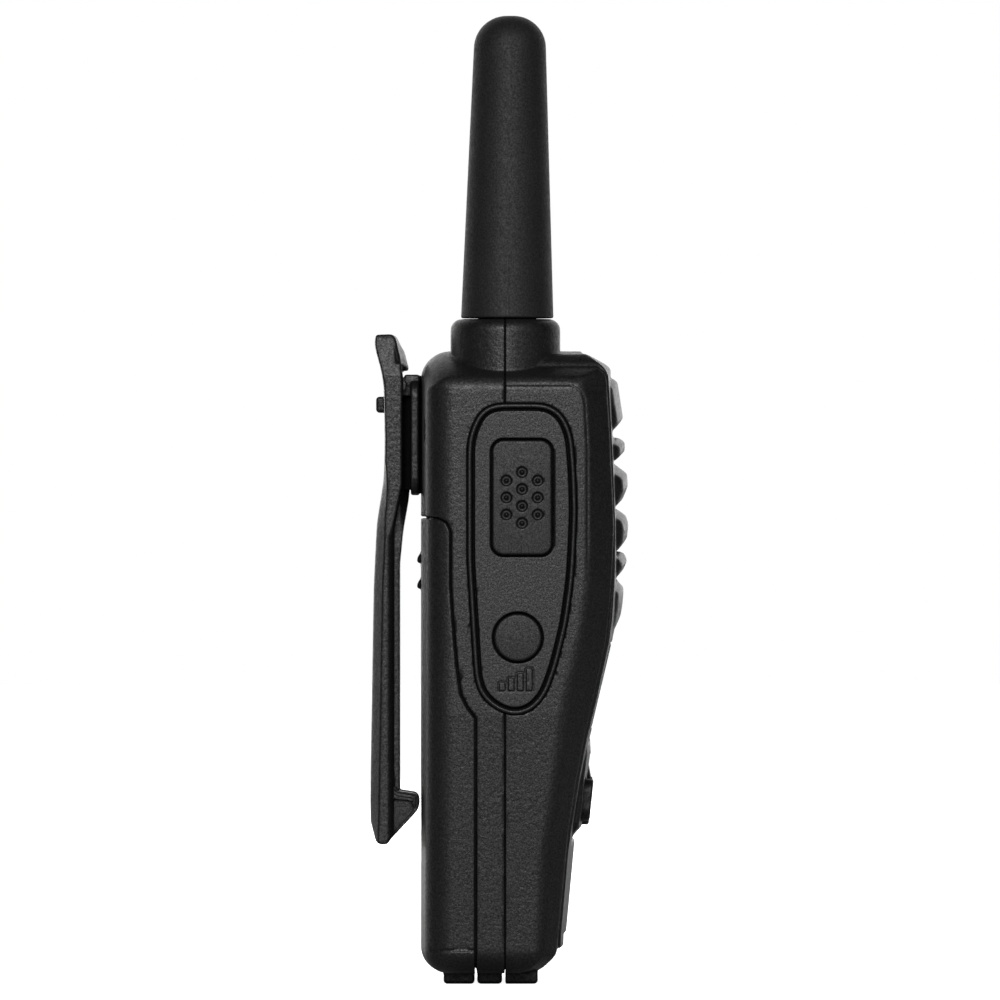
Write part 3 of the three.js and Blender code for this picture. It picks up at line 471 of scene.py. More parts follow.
def key_plans(u, v):
    """The outline of every key, seen from the front."""
    plans = {name: rounded_rectangle(u, v, c, h[0], h[1], r) for name, (c, h, r) in KEYS.items()}
    plans["key_up"] = arch_key(u, v)
    return plans


def front_openings(grid, field):
    """The window's sunk frame and opening, the key holes and the microphone hole."""
    part, picked = grid.block([-19, -23, 40], [19, -10, 60])
    depth, height = at_screen(part.y, part.z)
    frame_edge = rounded_rectangle(part.x, height, (0, 0), SCREEN["half_x"] + 1.7, SCREEN["half_z"] + 1.3, 3)
    seat = rounded_rectangle(part.x, height, (0, 0), SCREEN["half_x"] + 0.12, SCREEN["half_z"] + 0.12, 1.6)
    opening = rounded_rectangle(part.x, height, (0, 0), SCREEN["half_x"] - 1.6, SCREEN["half_z"] - 1.6, 1)
    made = field[picked]
    made = cut(made, np.maximum(frame_edge, depth + 0.25), 0.25)
    made = cut(made, np.maximum(seat, slab(depth, -3, SCREEN["thick"] + 0.1)), 0.12)
    field[picked] = np.maximum(made, -np.maximum(opening, slab(depth, -3, 6)))
    part, picked = grid.block([-17, -19, 23], [17, -9, 43])
    made = field[picked]
    for plan in key_plans(part.x, part.z).values():
        made = cut(made, plan - 0.22, 0.18)
    field[picked] = made
    part, picked = grid.block([7, -17, 14], [11, -9, 18])
    hole = disc(part.x, part.z, MICROPHONE_HOLE["centre"], MICROPHONE_HOLE["r"])
    field[picked] = cut(field[picked], hole, 0.15)
    return field


def side_line(grid, field, skin, sign, line, low, high, corner):
    """A hair-fine groove that frames the flat of one side; along a line of depths it fades lower down."""
    part, picked = grid.block([min(28 * sign, 24 * sign), -18, 2], [max(28 * sign, 24 * sign), 12, 103])
    edge = follow(line, part.z) + 0.1 - part.y if line else 0 * part.y - 99
    inside = meet(edge, slab(part.z, low, high), corner)
    lift = np.interp(part.z, *zip(*LINE_FADE)) if line else 0
    groove = np.hypot(inside, skin[picked] - lift) - LINE_RADIUS
    field[picked] = np.maximum(field[picked], -groove)
    return field


def jack_plan(y, z, grow=0.0):
    """The outline of the socket's cover, seen from its side."""
    low, high = millimetres("jack_cover")
    centre = (low[1:] + high[1:]) / 2
    half = (high[1:] - low[1:]) / 2
    return rounded_rectangle(y, z, centre, half[0] + grow, half[1] + grow, 1.4)


def build_front():
    """The front housing: face, grille, key pad, openings and the front half of the collar."""
    grid = shell_grid("front_housing")
    base = body_field(grid)
    field = join(front_face(grid, base), collar_field(grid), 0.25)
    field = key_boss(grid, field)
    field = lower_plate(grid, field)
    field = grille(grid, field)
    field = np.maximum(field, -(base + WALL))
    field = front_openings(grid, field)
    field = join(field, foot_pad(grid, -7.9, PARTING_Y + 1), 0.1)
    field = cut(field, panel_seat(grid), 0.1)
    field = np.maximum(field, -antenna_seat(grid))
    cover_seat = np.maximum(jack_plan(grid.y, grid.z, 0.15), HALF_WIDTH - 1.2 - grid.x)
    socket = np.maximum(disc(grid.y, grid.z, SOCKET, 3.1), 20 - grid.x)
    field = cut(field, np.minimum(cover_seat, socket), 0.15)
    for sign in (-1, 1):
        field = side_line(grid, field, base, sign, CREASE_LINE, 3.6, 99.6, 2.2)
    skin = np.minimum(base, collar_field(grid))
    field = meet(field, -rear_side(grid, skin, -SEAM), 0.1)
    return piece("front_housing_moulding", grid, field)


# ---- rear housing and door
def door_distance(grid):
    """Signed distance behind the door's split line."""
    edge = [[y, z] for z, y in DOOR_LINE]
    edge[0][1] = -6
    closed = edge + [[30, edge[-1][1]], [30, -6]]
    return outline(grid.y[0], grid.z[0], closed)[None]


def build_rear():
    """The rear housing with its screw bosses, cell bay, clip rail and door opening."""
    grid = shell_grid("rear_housing")
    base = body_field(grid)
    field = join(base, collar_field(grid), 0.25)
    upper = np.maximum(base + WALL, 79.3 - grid.z)
    step = np.maximum(base + WALL, np.maximum(slab(grid.z, 62.5, 80), grid.y - 4.9))
    lower = np.maximum(base + WALL, np.maximum(grid.z - 60.8, -0.95 - grid.y))
    field = np.maximum(field, -np.minimum(np.minimum(upper, step), lower))
    half_x, half_z, wall = CELL_BAY["half_x"], CELL_BAY["half_z"], CELL_BAY["wall"]
    bay = rounded_rectangle(grid.x, grid.z, CELL_BAY["centre"], half_x, half_z, 1.5)
    inside = rounded_rectangle(grid.x, grid.z, CELL_BAY["centre"], half_x - wall, half_z - wall, 1)
    walls = np.maximum(np.maximum(bay, -inside), slab(grid.y, -1.5, 8.5))
    block = np.maximum(np.maximum(np.abs(grid.x) - 8, slab(grid.z, 78, 104)), 5.6 - grid.y)
    field = np.minimum(field, np.minimum(walls, np.maximum(block, base)))
    for x, z, top, seat in SCREWS:
        boss = np.maximum(disc(grid.x, grid.z, (x, z), 3.4), slab(grid.y, PARTING_Y, top))
        field = np.minimum(field, np.maximum(boss, base))
    behind = door_distance(grid)
    opening = np.minimum(np.maximum(behind - 0.15, -0.9 - base), behind + 1.1)
    field = cut(field, opening, 0.18)
    field = np.minimum(field, np.maximum(walls, base))
    field = join(field, foot_pad(grid, -1.95, 2.2), 0.1)
    for x, z, top, seat in SCREWS:
        head = np.maximum(disc(grid.x, grid.z, (x, z), 2.2), seat - grid.y)
        shank = disc(grid.x, grid.z, (x, z), 1.15)
        field = cut(field, np.minimum(head, shank), 0.15)
    neck = np.maximum(np.abs(grid.x) - 3.2, 8.2 - grid.y)
    head = np.maximum(np.abs(grid.x) - 5.2, slab(grid.y, 7.4, 9.4))
    rail = np.maximum(np.minimum(neck, head), 81.4 - grid.z)
    field = cut(field, rail, 0.15)
    field = cut(field, panel_seat(grid), 0.1)
    field = np.maximum(field, -antenna_seat(grid))
    skin = np.minimum(base, collar_field(grid))
    field = meet(field, rear_side(grid, skin, SEAM), 0.1)
    return piece("rear_housing_moulding", grid, field)


# Side view of a grip rib, [depth, height from its top].
GRIP_RIB = [[9, 0.6], [11.3, 0], [12.15, -1.3], [12.3, -2], [12, -2.35], [9, -2.5]]
GRIP_RIB_TOPS = (72.3, 68.0)


def grip_rib(grid, top):
    """A teardrop bar: a long slope above and a square shoulder below."""
    drop = [[y, top + above] for y, above in GRIP_RIB]
    return meet(outline(grid.y[0], grid.z[0], drop)[None], np.abs(grid.x) - 4.4, 0.4)


def build_door():
    """The battery door with its two grip ribs and its foot."""
    grid = shell_grid("battery_door")
    base = body_field(grid)
    field = np.maximum(base, -(base + WALL))
    behind = door_distance(grid)
    field = meet(field, behind + 0.15, 0.22)
    field = np.maximum(field, -np.maximum(base + 0.8, -1.25 - behind))
    for sign in (-1, 1):
        field = side_line(grid, field, base, sign, None, 5.8, 90, 1)
    ribs = [grip_rib(grid, top) for top in GRIP_RIB_TOPS]
    field = join(field, np.minimum(*ribs), 0.2)
    field = join(field, foot_pad(grid, 2.62, 7.8), 0.1)
    return piece("battery_door_moulding", grid, field)


# ---- side panel and buttons
def ptt_plan(y, z, grow=0.0):
    """The outline of the push-to-talk button, seen from its side."""
    return rounded_rectangle(
        y, z, PTT["centre"], PTT["half_y"] + grow, PTT["half_z"] + grow, PTT["corner"] + grow
    )


def level_glyph(grid):
    """Four bars that rise in steps."""
    bars = np.float32(1e9)
    for k in range(4):
        height = 1.3 + 0.78 * k
        bar = rounded_rectangle(grid.y, grid.z, (-1.95 - 1.5 * k, 48.9 + height / 2), 0.48, height / 2, 0.15)
        bars = np.minimum(bars, bar)
    return bars


def build_panel():
    """The side panel: a bead round its edge, a groove inside that, two holes and a sign."""
    low, high = millimetres("side_panel")
    grid = Grid(low, high, FINE_STEP)
    inward = -panel_distance(grid)
    x = grid.x + HALF_WIDTH
    skirt = np.maximum(-0.05 - inward, 0.35 - x)
    field = meet(np.minimum(0.04 - inward, skirt), np.maximum(0.1 - x, x - 1.3), 0.06)
    bead = np.hypot(inward - 0.38, x - 0.14) - 0.34
    field = join(field, bead, 0.05)
    groove = np.maximum(np.abs(inward - 0.97) - 0.27 + 0.22 * np.clip(x, 0, 1), x - 1.15)
    field = cut(field, groove, 0.1)
    field = cut(field, ptt_plan(grid.y, grid.z, 0.35), 0.12)
    field = cut(field, disc(grid.y, grid.z, SQUELCH["centre"], SQUELCH["r"] + 0.32), 0.12)
    bars = level_glyph(grid)
    field = cut(field, np.hypot(bars - 0.16, x - 0.02) - 0.17, 0.05)
    glyph = meet(bars, slab(x, -0.12, 0.4), 0.12)
    return piece("side_panel_moulding", grid, join(field, glyph, 0.04))


def build_ptt():
    """The push-to-talk button: a dished face with ten ringed nubs and a flange behind the panel."""
    low, high = millimetres("ptt_button")
    grid = Grid(low, high, FINE_STEP)
    x, y, z = grid.x + HALF_WIDTH, grid.y, grid.z
    middle_y, middle_z = PTT["centre"]
    bulge = 0.14 * ((y - middle_y) / 5) ** 2 + 0.14 * ((z - middle_z) / 9.5) ** 2
    plan = ptt_plan(y, z)
    face = -0.28 + bulge - x
    field = meet(plan, np.maximum(face, x - 2.6), 0.35)
    field = np.minimum(field, meet(plan - 0.7, slab(x, 1.9, 2.7), 0.1))
    for column in (-1, 0, 1):
        rows = 3 if column else 4
        for row in range(rows):
            centre = (middle_y + 2.6 * column, middle_z + (row - (rows - 1) / 2) * 2.82)
            low_corner = [-28, centre[0] - 1.5, centre[1] - 1.5]
            part, picked = grid.block(low_corner, [-26, centre[0] + 1.5, centre[1] + 1.5])
            off = disc(part.y, part.z, centre, 0)
            px = part.x + HALF_WIDTH
            ring = np.hypot(off - 0.58, px + 0.2) - 0.34
            nub = np.hypot(off, (px + 0.08) * 0.9) - 0.27
            field[picked] = join(cut(field[picked], ring, 0.1), nub, 0.05)
    return piece("ptt_button_rubber", grid, field)


def build_squelch():
    """The round button under the push-to-talk button."""
    low, high = millimetres("squelch_button")
    grid = Grid(low, high, FINE_STEP)
    x = grid.x + HALF_WIDTH
    radius = disc(grid.y, grid.z, SQUELCH["centre"], 0)
    face = -0.22 + 0.1 * (radius / 4) ** 2 - x
    field = meet(radius - SQUELCH["r"], np.maximum(face, x - 2.6), 0.4)
    field = np.minimum(field, np.maximum(radius - 4.5, slab(x, 1.9, 2.7)))
    return piece("squelch_button_rubber", grid, field)


def build_cover():
    """The socket's cover with a finger pull and a plug."""
    low, high = millimetres("jack_cover")
    grid = Grid(low, high, FINE_STEP)
    x = grid.x - HALF_WIDTH
    field = meet(jack_plan(grid.y, grid.z), slab(x, -1.1, 0), 0.25)
    pull = rounded_rectangle(x, grid.z, (0.1, 89.2), 0.5, 0.45, 0.2)
    field = join(field, meet(pull, slab(grid.y, -10.7, -6.7), 0.3), 0.15)
    plug = np.maximum(disc(grid.y, grid.z, SOCKET, 1.2), slab(x, -2, -0.5))
    return piece("jack_cover_rubber", grid, join(field, plug, 0.1))


# ---- keys and window
def triangle(u, v, centre, size, up):
    """An arrow head that points up or down."""
    side = -1 if up else 1
    legs = np.abs(u - centre[0]) * math.sin(math.radians(60)) - side * (v - centre[1]) * 0.5
    return np.maximum(legs - size * 0.5, side * (v - centre[1]) - size * 0.5)


def key_mark(name, u, v):
    """A small engraved sign on each key: arrows, bars, a ring."""
    if name == "key_up":
        return triangle(u, v, (0, 34.7), 1.3, True)
    if name == "key_down":
        return triangle(u, v, (0, 29.2), 1.5, False)
    if name == "key_menu":
        rows = [rounded_rectangle(u, v, (-12, 30.5 + k * 1.1), 1.4, 0.28, 0.2) for k in (-1, 0, 1)]
        return np.minimum(np.minimum(rows[0], rows[1]), rows[2])
    if name == "key_call":
        rings = [np.abs(disc(u, v, (12, 30.5), r)) - 0.22 for r in (0.4, 1.5)]
        return np.minimum(rings[0], rings[1])
    return np.abs(disc(u, v, (0, 39.3), 0.7)) - 0.18


def build_key(name):
    """A rubber key: cap, flange behind the face and a stem that reaches its switch."""
    low, high = millimetres(name)
    grid = Grid(low, high, FINE_STEP)
    u, v, y = grid.x, grid.z, grid.y
    plan = key_plans(u, v)[name]
    top = low[1] + 0.12 + KEY_LEAN[name] * (v - KEY_CREST) + KEY_SINK[name]
    field = meet(plan, np.maximum(top - y, y + 11.6), 0.4)
    field = np.minimum(field, np.maximum(plan - 0.45, slab(y, -12, -11.4)))
    middle = (low[[0, 2]] + high[[0, 2]]) / 2
    field = np.minimum(field, np.maximum(disc(u, v, middle, 1.2), slab(y, -11.6, -9.3)))
    mark = np.maximum(key_mark(name, u, v), y - top - 0.12)
    return piece(name + "_rubber", grid, cut(field, mark, 0.06))


def build_window():
    """The display's lens, a rounded sheet set in the sloped frame."""
    low, high = millimetres("lcd_window")
    grid = Grid(low, high, MIDDLE_STEP)
    depth, height = at_screen(grid.y, grid.z)
    plan = rounded_rectangle(grid.x, height, (0, 0), SCREEN["half_x"], SCREEN["half_z"], 1.5)
    return piece("lcd_window_lens", grid, meet(plan, slab(depth, 0.3, 1.05), 0.2))


# ---- antenna
def build_antenna():
    """The antenna's tapered sleeve with a faint mould seam, a spigot and a bore for the coil."""
    low, high = millimetres("antenna_sleeve")
    grid = Grid(low, high, MIDDLE_STEP)
    foot_z = COLLAR_TOP + 0.15
    rise = (grid.z - foot_z) / (ANTENNA["tip_z"] - foot_z)
    radius = ANTENNA["foot_r"] + (ANTENNA["tip_r"] - ANTENNA["foot_r"]) * rise
    lean = -0.45 * np.clip(rise, 0, 1.1)
    off_x, off_y = grid.x - ANTENNA["x"], grid.y - ANTENNA["y"] - lean
    away = np.hypot(off_x, off_y)
    seam = 0.05 * np.exp(-((off_y / 0.12) ** 2))
    cone = away - radius - seam
    field = meet(cone, grid.z - high[2], ANTENNA["round"])
    field = meet(field, foot_z - grid.z, 0.3)
    spigot = np.maximum(np.hypot(off_x, grid.y - ANTENNA["y"]) - 4.8, slab(grid.z, 103, foot_z + 1))
    bore = np.maximum(away - 3.2, grid.z - 153)
    return piece("antenna_sleeve_moulding", grid, np.maximum(np.minimum(field, spigot), -bore))


# ---- belt clip
CLIP_PIN = {"y": 15.2, "z": 99.6, "r": 0.8}
LEVER_HALF = 10
HOOK_TOP_Z = 33
# Side view of the lever, [depth, height]: back, hook and inner face make one closed outline.
LEVER_BACK = [
    [16.4, 108.2], [19.2, 108.1], [19.6, 106.6], [18.4, 102.5], [17.9, 99.5], [17.75, 90], [17.9, 84],
    [19.1, 76.5], [19.6, 66], [20.2, 30], [20.15, 27.2], [19.15, 23.5], [18.6, 23], [17.2, 23], [16.6, 23.9],
]
LEVER_HOOK = [[12.4, 28.4], [11.9, 29.2], [11.85, 30.6], [12.3, 31.5], [15.6, 32], [16, 33]]
LEVER_INSIDE = [
    [16.15, 36], [16.1, 76], [15.2, 80.5], [14.7, 83], [14.66, 101], [15.1, 104.5], [15.8, 107.6],
]
# How far the back's side bevels fall away, [height, depth].
LEVER_BEVEL = [[20, 1.2], [30, 1.6], [74, 1.6], [80, 1.2], [87, 0.25], [103, 0.2], [110, 0.3]]
LEVER_BEVEL_WIDTH = 3
LEVER_RIB = [
    [15.15, 31.4], [15.15, 70], [14.6, 75.5], [13.7, 80.5], [13.45, 83], [13.45, 98.2], [15.4, 98.2],
    [17, 80], [17.2, 31.4],
]
LEVER_THUMB = [[17, 102.1], [13.8, 102.1], [13.65, 102.5], [14.35, 105.2], [15.8, 107.8], [17, 108]]
HOOK_WEB = [[17, 30.6], [16.2, 30.55], [13.4, 30.35], [13, 29.9], [12.85, 28.7], [16.4, 24.75], [17, 24.75]]


def lever_hook(grid, section, x):
    """What to take off the sides of the hook: ridges along its edge and a sunk web inside them."""
    beyond = np.maximum(grid.y - 16.2, grid.z - HOOK_TOP_Z)
    ridge_end = np.maximum(beyond, 28.9 - grid.z)
    ridges = [np.maximum(np.hypot(section + depth, x - 9.35) - 0.21, ridge_end) for depth in (0.45, 0.98)]
    web = np.maximum(outline(grid.y[0], grid.z[0], softened(HOOK_WEB, 0.15, 0.3))[None], 8.7 - x)
    return np.minimum(np.minimum(ridges[0], ridges[1]), np.maximum(web, grid.y - 16.2))


def build_lever():
    """The clip's lever: a crowned blade with a rib inside, a hook, a thumb end and a spring pocket."""
    low, high = millimetres("clip_lever")
    grid = Grid(low, high, CLIP_STEP)
    x, y, z = np.abs(grid.x), grid.y, grid.z
    flat_y, flat_z = grid.y[0], grid.z[0]
    section = outline(flat_y, flat_z, softened(LEVER_BACK + LEVER_HOOK + LEVER_INSIDE, 0.3, 0.5))[None]
    back_line = [[z_, y_] for y_, z_ in LEVER_BACK[1:11]][::-1]
    dip = np.interp(z, *zip(*LEVER_BEVEL)).astype(np.float32)
    within = x - (LEVER_HALF - LEVER_BEVEL_WIDTH)
    bevel = 0.5 * (within + np.hypot(within, 0.6)) / LEVER_BEVEL_WIDTH
    crowned = y - follow(back_line, z, 1.2) + dip * bevel
    side = x - LEVER_HALF + 0.25 * np.maximum(z - 101.4, 0)
    field = meet(meet(section, side, 0.4), crowned, 0.25)
    inset = np.interp(z, [74, 82], [0, 3])
    inner_edge = ((x - LEVER_HALF) - (y - 16.9) - inset) / math.sqrt(2)
    above_hook = np.minimum(HOOK_TOP_Z - z, 16 - y)
    field = cut(field, np.maximum(-inner_edge, above_hook), 0.3)
    field = cut(field, np.maximum(np.maximum(9.3 - x, y - 16.1), z - 60), 0.2)
    rib = outline(flat_y, flat_z, softened(LEVER_RIB, 0.3, 0.5))[None]
    taper = np.interp(z, [76, 82], [0, 2.6])
    rib_half = np.interp(z, [74, 81], [8.9, 6.4])
    rib_side = (x - rib_half - taper * np.clip(y - 15.0, -2, 0)) / (1 + 0.6 * taper)
    field = join(field, meet(rib, rib_side, 0.15), 0.1)
    thumb = outline(flat_y, flat_z, softened(LEVER_THUMB, 0.18, 0.4))[None]
    field = join(field, thumb + 1.2 * (x / 9) ** 2, 0.5)
    pocket = np.maximum(np.maximum(x - 8.4, slab(z, 97.9, 101.65)), y - 16.95)
    field = np.maximum(field, -pocket)
    passage = np.maximum(np.maximum(x - 4.8, slab(z, 22, HOOK_TOP_Z)), y - 15.4)
    field = cut(field, passage, 0.2)
    field = cut(field, lever_hook(grid, section, x), 0.1)
    from_pin = disc(y, z, (CLIP_PIN["y"], CLIP_PIN["z"]), 0)
    boss = meet(from_pin - 1.25, slab(x, 8.4, 9.4), 0.15)
    knob = meet(rounded_rectangle(y, z, (18.2, 96.45), 0.95, 1.35, 0.6), x - 2.2, 0.5)
    field = np.minimum(join(field, knob, 0.2), boss)
    bore = np.maximum(from_pin - CLIP_PIN["r"], x - 9.2)
    return piece("clip_lever_moulding", grid, np.maximum(field, -bore))


def build_clip_base():
    """The clip's base: plate, hinge bar and ears, walls behind the lever and the tongue for the rail."""
    low, high = millimetres("clip_base")
    grid = Grid(low, high, CLIP_STEP)
    x, y, z = np.abs(grid.x), grid.y, grid.z
    plate = meet(rounded_rectangle(grid.x, z, (0, 90.95), 10, 9.65, 3), slab(y, 11.9, 13.3), 0.35)
    bar = meet(rounded_rectangle(y, z, (13.1, 100.45), 1.35, 1.0, 0.5), x - 8.1, 0.4)
    tongue = np.minimum(np.maximum(x - 3, slab(y, 8.7, 12.4)), np.maximum(x - 5, slab(y, 7.6, 9.2)))
    tongue = np.maximum(tongue, slab(z, 81.6, 99.5))
    neck = np.maximum(np.maximum(x - 2.9, slab(y, 8.8, 12.4)), slab(z, 98, 101.3))
    outer_side = (x + 1.25 * (y - 13.3) - 6.9) / 1.6
    walls = np.maximum(np.maximum(4.95 - x, outer_side), np.maximum(slab(y, 12.8, 14.4), slab(z, 82.2, 98.6)))
    from_pin = disc(y, z, (CLIP_PIN["y"], CLIP_PIN["z"]), 0)
    lug = np.minimum(
        from_pin - 1.5,
        np.maximum(slab(y, 12.6, CLIP_PIN["y"] - 0.3), slab(z, 97.85, CLIP_PIN["z"] + 1.2)),
    )
    ears = meet(lug, slab(x, 5.4, 8.1), 0.2)
    field = join(join(plate, bar, 0.15), np.minimum(np.minimum(tongue, neck), np.minimum(ears, walls)), 0.15)
    bore = from_pin - CLIP_PIN["r"]
    return piece("clip_base_moulding", grid, np.maximum(field, -bore))


# ---- materials
def new_material(name):
    """A node material, its shader and the object coordinates to place patterns by."""
    material = bpy.data.materials.new(name)
    material.use_nodes = True
    tree = material.node_tree
    shader = tree.nodes["Principled BSDF"]
    place_ = tree.nodes.new("ShaderNodeTexCoord").outputs["Object"]
    return material, tree, shader, place_


def noise(tree, place_, size, detail=2.0, rough=0.5):
    """Cloudy noise whose features are about size millimetres across."""
    node = tree.nodes.new("ShaderNodeTexNoise")
    node.inputs["Scale"].default_value = 1 / (size * MM)
    node.inputs["Detail"].default_value = detail
    node.inputs["Roughness"].default_value = rough
    tree.links.new(place_, node.inputs["Vector"])
    return node.outputs["Fac"]


def spread(tree, value, low, high, from_low=0.3, from_high=0.7):
    """A value stretched from one range to another."""
    node = tree.nodes.new("ShaderNodeMapRange")
    node.inputs["From Min"].default_value = from_low
    node.inputs["From Max"].default_value = from_high
    node.inputs["To Min"].default_value = low
    node.inputs["To Max"].default_value = high
    tree.links.new(value, node.inputs["Value"])
    return node.outputs["Result"]


def bumped(tree, shader, height, depth, under=None):
    """A bump of some millimetres' depth, over another bump if one is given."""
    node = tree.nodes.new("ShaderNodeBump")
    node.inputs["Distance"].default_value = depth * MM
    node.inputs["Strength"].default_value = 1
    tree.links.new(height, node.inputs["Height"])
    if under is not None:
        tree.links.new(under, node.inputs["Normal"])
    tree.links.new(node.outputs["Normal"], shader.inputs["Normal"])
    return node.outputs["Normal"]


def shade_between(tree, value, dark, light):
    """A colour mixed by a value from dark (0) to light (1)."""
    node = tree.nodes.new("ShaderNodeMix")
    node.data_type = "RGBA"
    node.inputs["A"].default_value = (*dark, 1)
    node.inputs["B"].default_value = (*light, 1)
    tree.links.new(value, node.inputs["Factor"])
    return node.outputs["Result"]


def painted_crevice_shade(tree, reach):
    """Painted shade: one on open surfaces, falling towards zero where other surfaces crowd in within the
    reach, to dull the shine in crevices.
    """
    node = tree.nodes.new("ShaderNodeAmbientOcclusion")
    node.samples = 6
    node.inputs["Distance"].default_value = reach * MM
    return spread(tree, node.outputs["AO"], 0.1, 1, 0.2, 0.85)


def product(tree, a, b):
    """Two values multiplied."""
    node = tree.nodes.new("ShaderNodeMath")
    node.operation = "MULTIPLY"
    tree.links.new(a, node.inputs[0])
    tree.links.new(b, node.inputs[1])
    return node.outputs["Value"]


def moulded(name, tone, rough, grain, depth, tint=(1, 1, 1.02), sheen=0.5):
    """Moulded plastic or rubber: a fine eroded grain, cloudy tone, uneven sheen, and painted shade that dulls
    the shine in crevices.
    """
    material, tree, shader, place_ = new_material(name)
    fine = noise(tree, place_, grain, 2, 0.6)
    coarse = noise(tree, place_, grain * 2.4, 2)
    clouds = noise(tree, place_, 9, 3)
    dark = [tone * 0.8 * t for t in tint]
    light = [tone * 1.2 * t for t in tint]
    tree.links.new(shade_between(tree, clouds, dark, light), shader.inputs["Base Color"])
    tree.links.new(spread(tree, coarse, rough - 0.06, rough + 0.08), shader.inputs["Roughness"])
    under = bumped(tree, shader, coarse, depth * 2)
    bumped(tree, shader, fine, depth, under=under)
    # The shine follows the grain and is cut down in crevices by painted shade.
    grain_sheen_and_painted_shade = product(tree, spread(tree, fine, sheen * 0.4, sheen * 1.6), painted_crevice_shade(tree, 2.2))
    tree.links.new(grain_sheen_and_painted_shade, shader.inputs["Specular IOR Level"])
    return material


def metal(name, colour, rough, brush=0.6):
    """Brushed metal, streaked along its length."""
    material, tree, shader, place_ = new_material(name)
    stretch = tree.nodes.new("ShaderNodeMapping")
    stretch.inputs["Scale"].default_value = (1, 1, 0.08)
    tree.links.new(place_, stretch.inputs["Vector"])
    lines = noise(tree, stretch.outputs["Vector"], brush, 3)
    dark = [c * 0.85 for c in colour]
    tree.links.new(shade_between(tree, lines, dark, colour), shader.inputs["Base Color"])
    tree.links.new(spread(tree, lines, rough - 0.08, rough + 0.1), shader.inputs["Roughness"])
    bumped(tree, shader, lines, 0.01)
    shader.inputs["Metallic"].default_value = 1
    return material


def glass_lens():
    """Smoked clear plastic with faint smudges."""
    material, tree, shader, place_ = new_material("smoked_window")
    smudge = noise(tree, place_, 6, 2)
    tree.links.new(spread(tree, smudge, 0.03, 0.1), shader.inputs["Roughness"])
    shader.inputs["Base Color"].default_value = (0.25, 0.27, 0.29, 1)
    shader.inputs["Transmission Weight"].default_value = 0.85
    shader.inputs["IOR"].default_value = 1.49
    return material


def woven(name, tone):
    """Dark cloth or felt with a fine cell pattern."""
    material, tree, shader, place_ = new_material(name)
    weave = tree.nodes.new("ShaderNodeTexVoronoi")
    weave.inputs["Scale"].default_value = 1 / (0.35 * MM)
    tree.links.new(place_, weave.inputs["Vector"])
    tree.links.new(shade_between(tree, weave.outputs["Distance"], [tone * 1.6] * 3, [tone * 0.5] * 3),
                   shader.inputs["Base Color"])
    shader.inputs["Roughness"].default_value = 0.95
    bumped(tree, shader, weave.outputs["Distance"], 0.08)
    return material


def board_mask():
    """Green solder mask over a brick of tracks."""
    material, tree, shader, place_ = new_material("board_mask")
    tracks = tree.nodes.new("ShaderNodeTexBrick")
    tracks.inputs["Scale"].default_value = 1 / (1.6 * MM)
    tree.links.new(place_, tracks.inputs["Vector"])
    tree.links.new(shade_between(tree, tracks.outputs["Fac"], (0.01, 0.09, 0.035), (0.02, 0.16, 0.06)),
                   shader.inputs["Base Color"])
    shader.inputs["Roughness"].default_value = 0.35
    bumped(tree, shader, tracks.outputs["Fac"], 0.03)
    return material


SHELL = moulded("grained_black_plastic", 0.011, 0.37, 0.3, 0.03)
SMOOTH = moulded("panel_black_plastic", 0.013, 0.38, 0.28, 0.022, (1, 1, 1.1))
RUBBER = moulded("button_rubber", 0.007, 0.46, 0.24, 0.012, (1, 0.98, 1.04))
ANTENNA_SKIN = moulded("antenna_rubber", 0.016, 0.55, 0.3, 0.022, sheen=0.38)
WINDOW = glass_lens()
DISPLAY = moulded("display_film", 0.22, 0.3, 0.2, 0.002, (0.95, 1.05, 0.85))
DIFFUSER = moulded("light_guide", 0.75, 0.4, 0.4, 0.003)
STEEL = metal("plated_steel", (0.62, 0.62, 0.61), 0.3)
DARK_STEEL = metal("blackened_steel", (0.03, 0.03, 0.032), 0.45)
BRASS = metal("copper_alloy", (0.78, 0.56, 0.3), 0.3)
JACKET = metal("cell_jacket", (0.5, 0.52, 0.56), 0.28, 1.2)
FELT = woven("speaker_felt", 0.008)
CONE = woven("cone_paper", 0.02)
BOARD = board_mask()

# ---- the moulded pieces
place(build_front(), "radio", "shell_plastic", SHELL, "front_housing")
place(build_rear(), "radio", "shell_plastic", SHELL, "rear_housing")
place(build_door(), "door", "shell_plastic", SHELL, "battery_door")
place(build_panel(), "radio", "shell_plastic", SMOOTH, "side_panel")
place(build_ptt(), "ptt", "button_rubber", RUBBER, "ptt_button")
place(build_squelch(), "squelch", "button_rubber", RUBBER, "squelch_button")
place(build_cover(), "cover", "button_rubber", RUBBER, "jack_cover")
for key, body in [("key_up", "up"), ("key_down", "down"), ("key_menu", "menu"), ("key_call", "call"),
                  ("key_power", "power")]:
    place(build_key(key), body, "button_rubber", RUBBER, key)
place(build_window(), "radio", "window", WINDOW, "lcd_window")
place(build_antenna(), "radio", "antenna_plastic", ANTENNA_SKIN, "antenna_sleeve")
place(build_lever(), "lever", "shell_plastic", SHELL, "clip_lever")
place(build_clip_base(), "clip", "shell_plastic", SHELL, "clip_base")

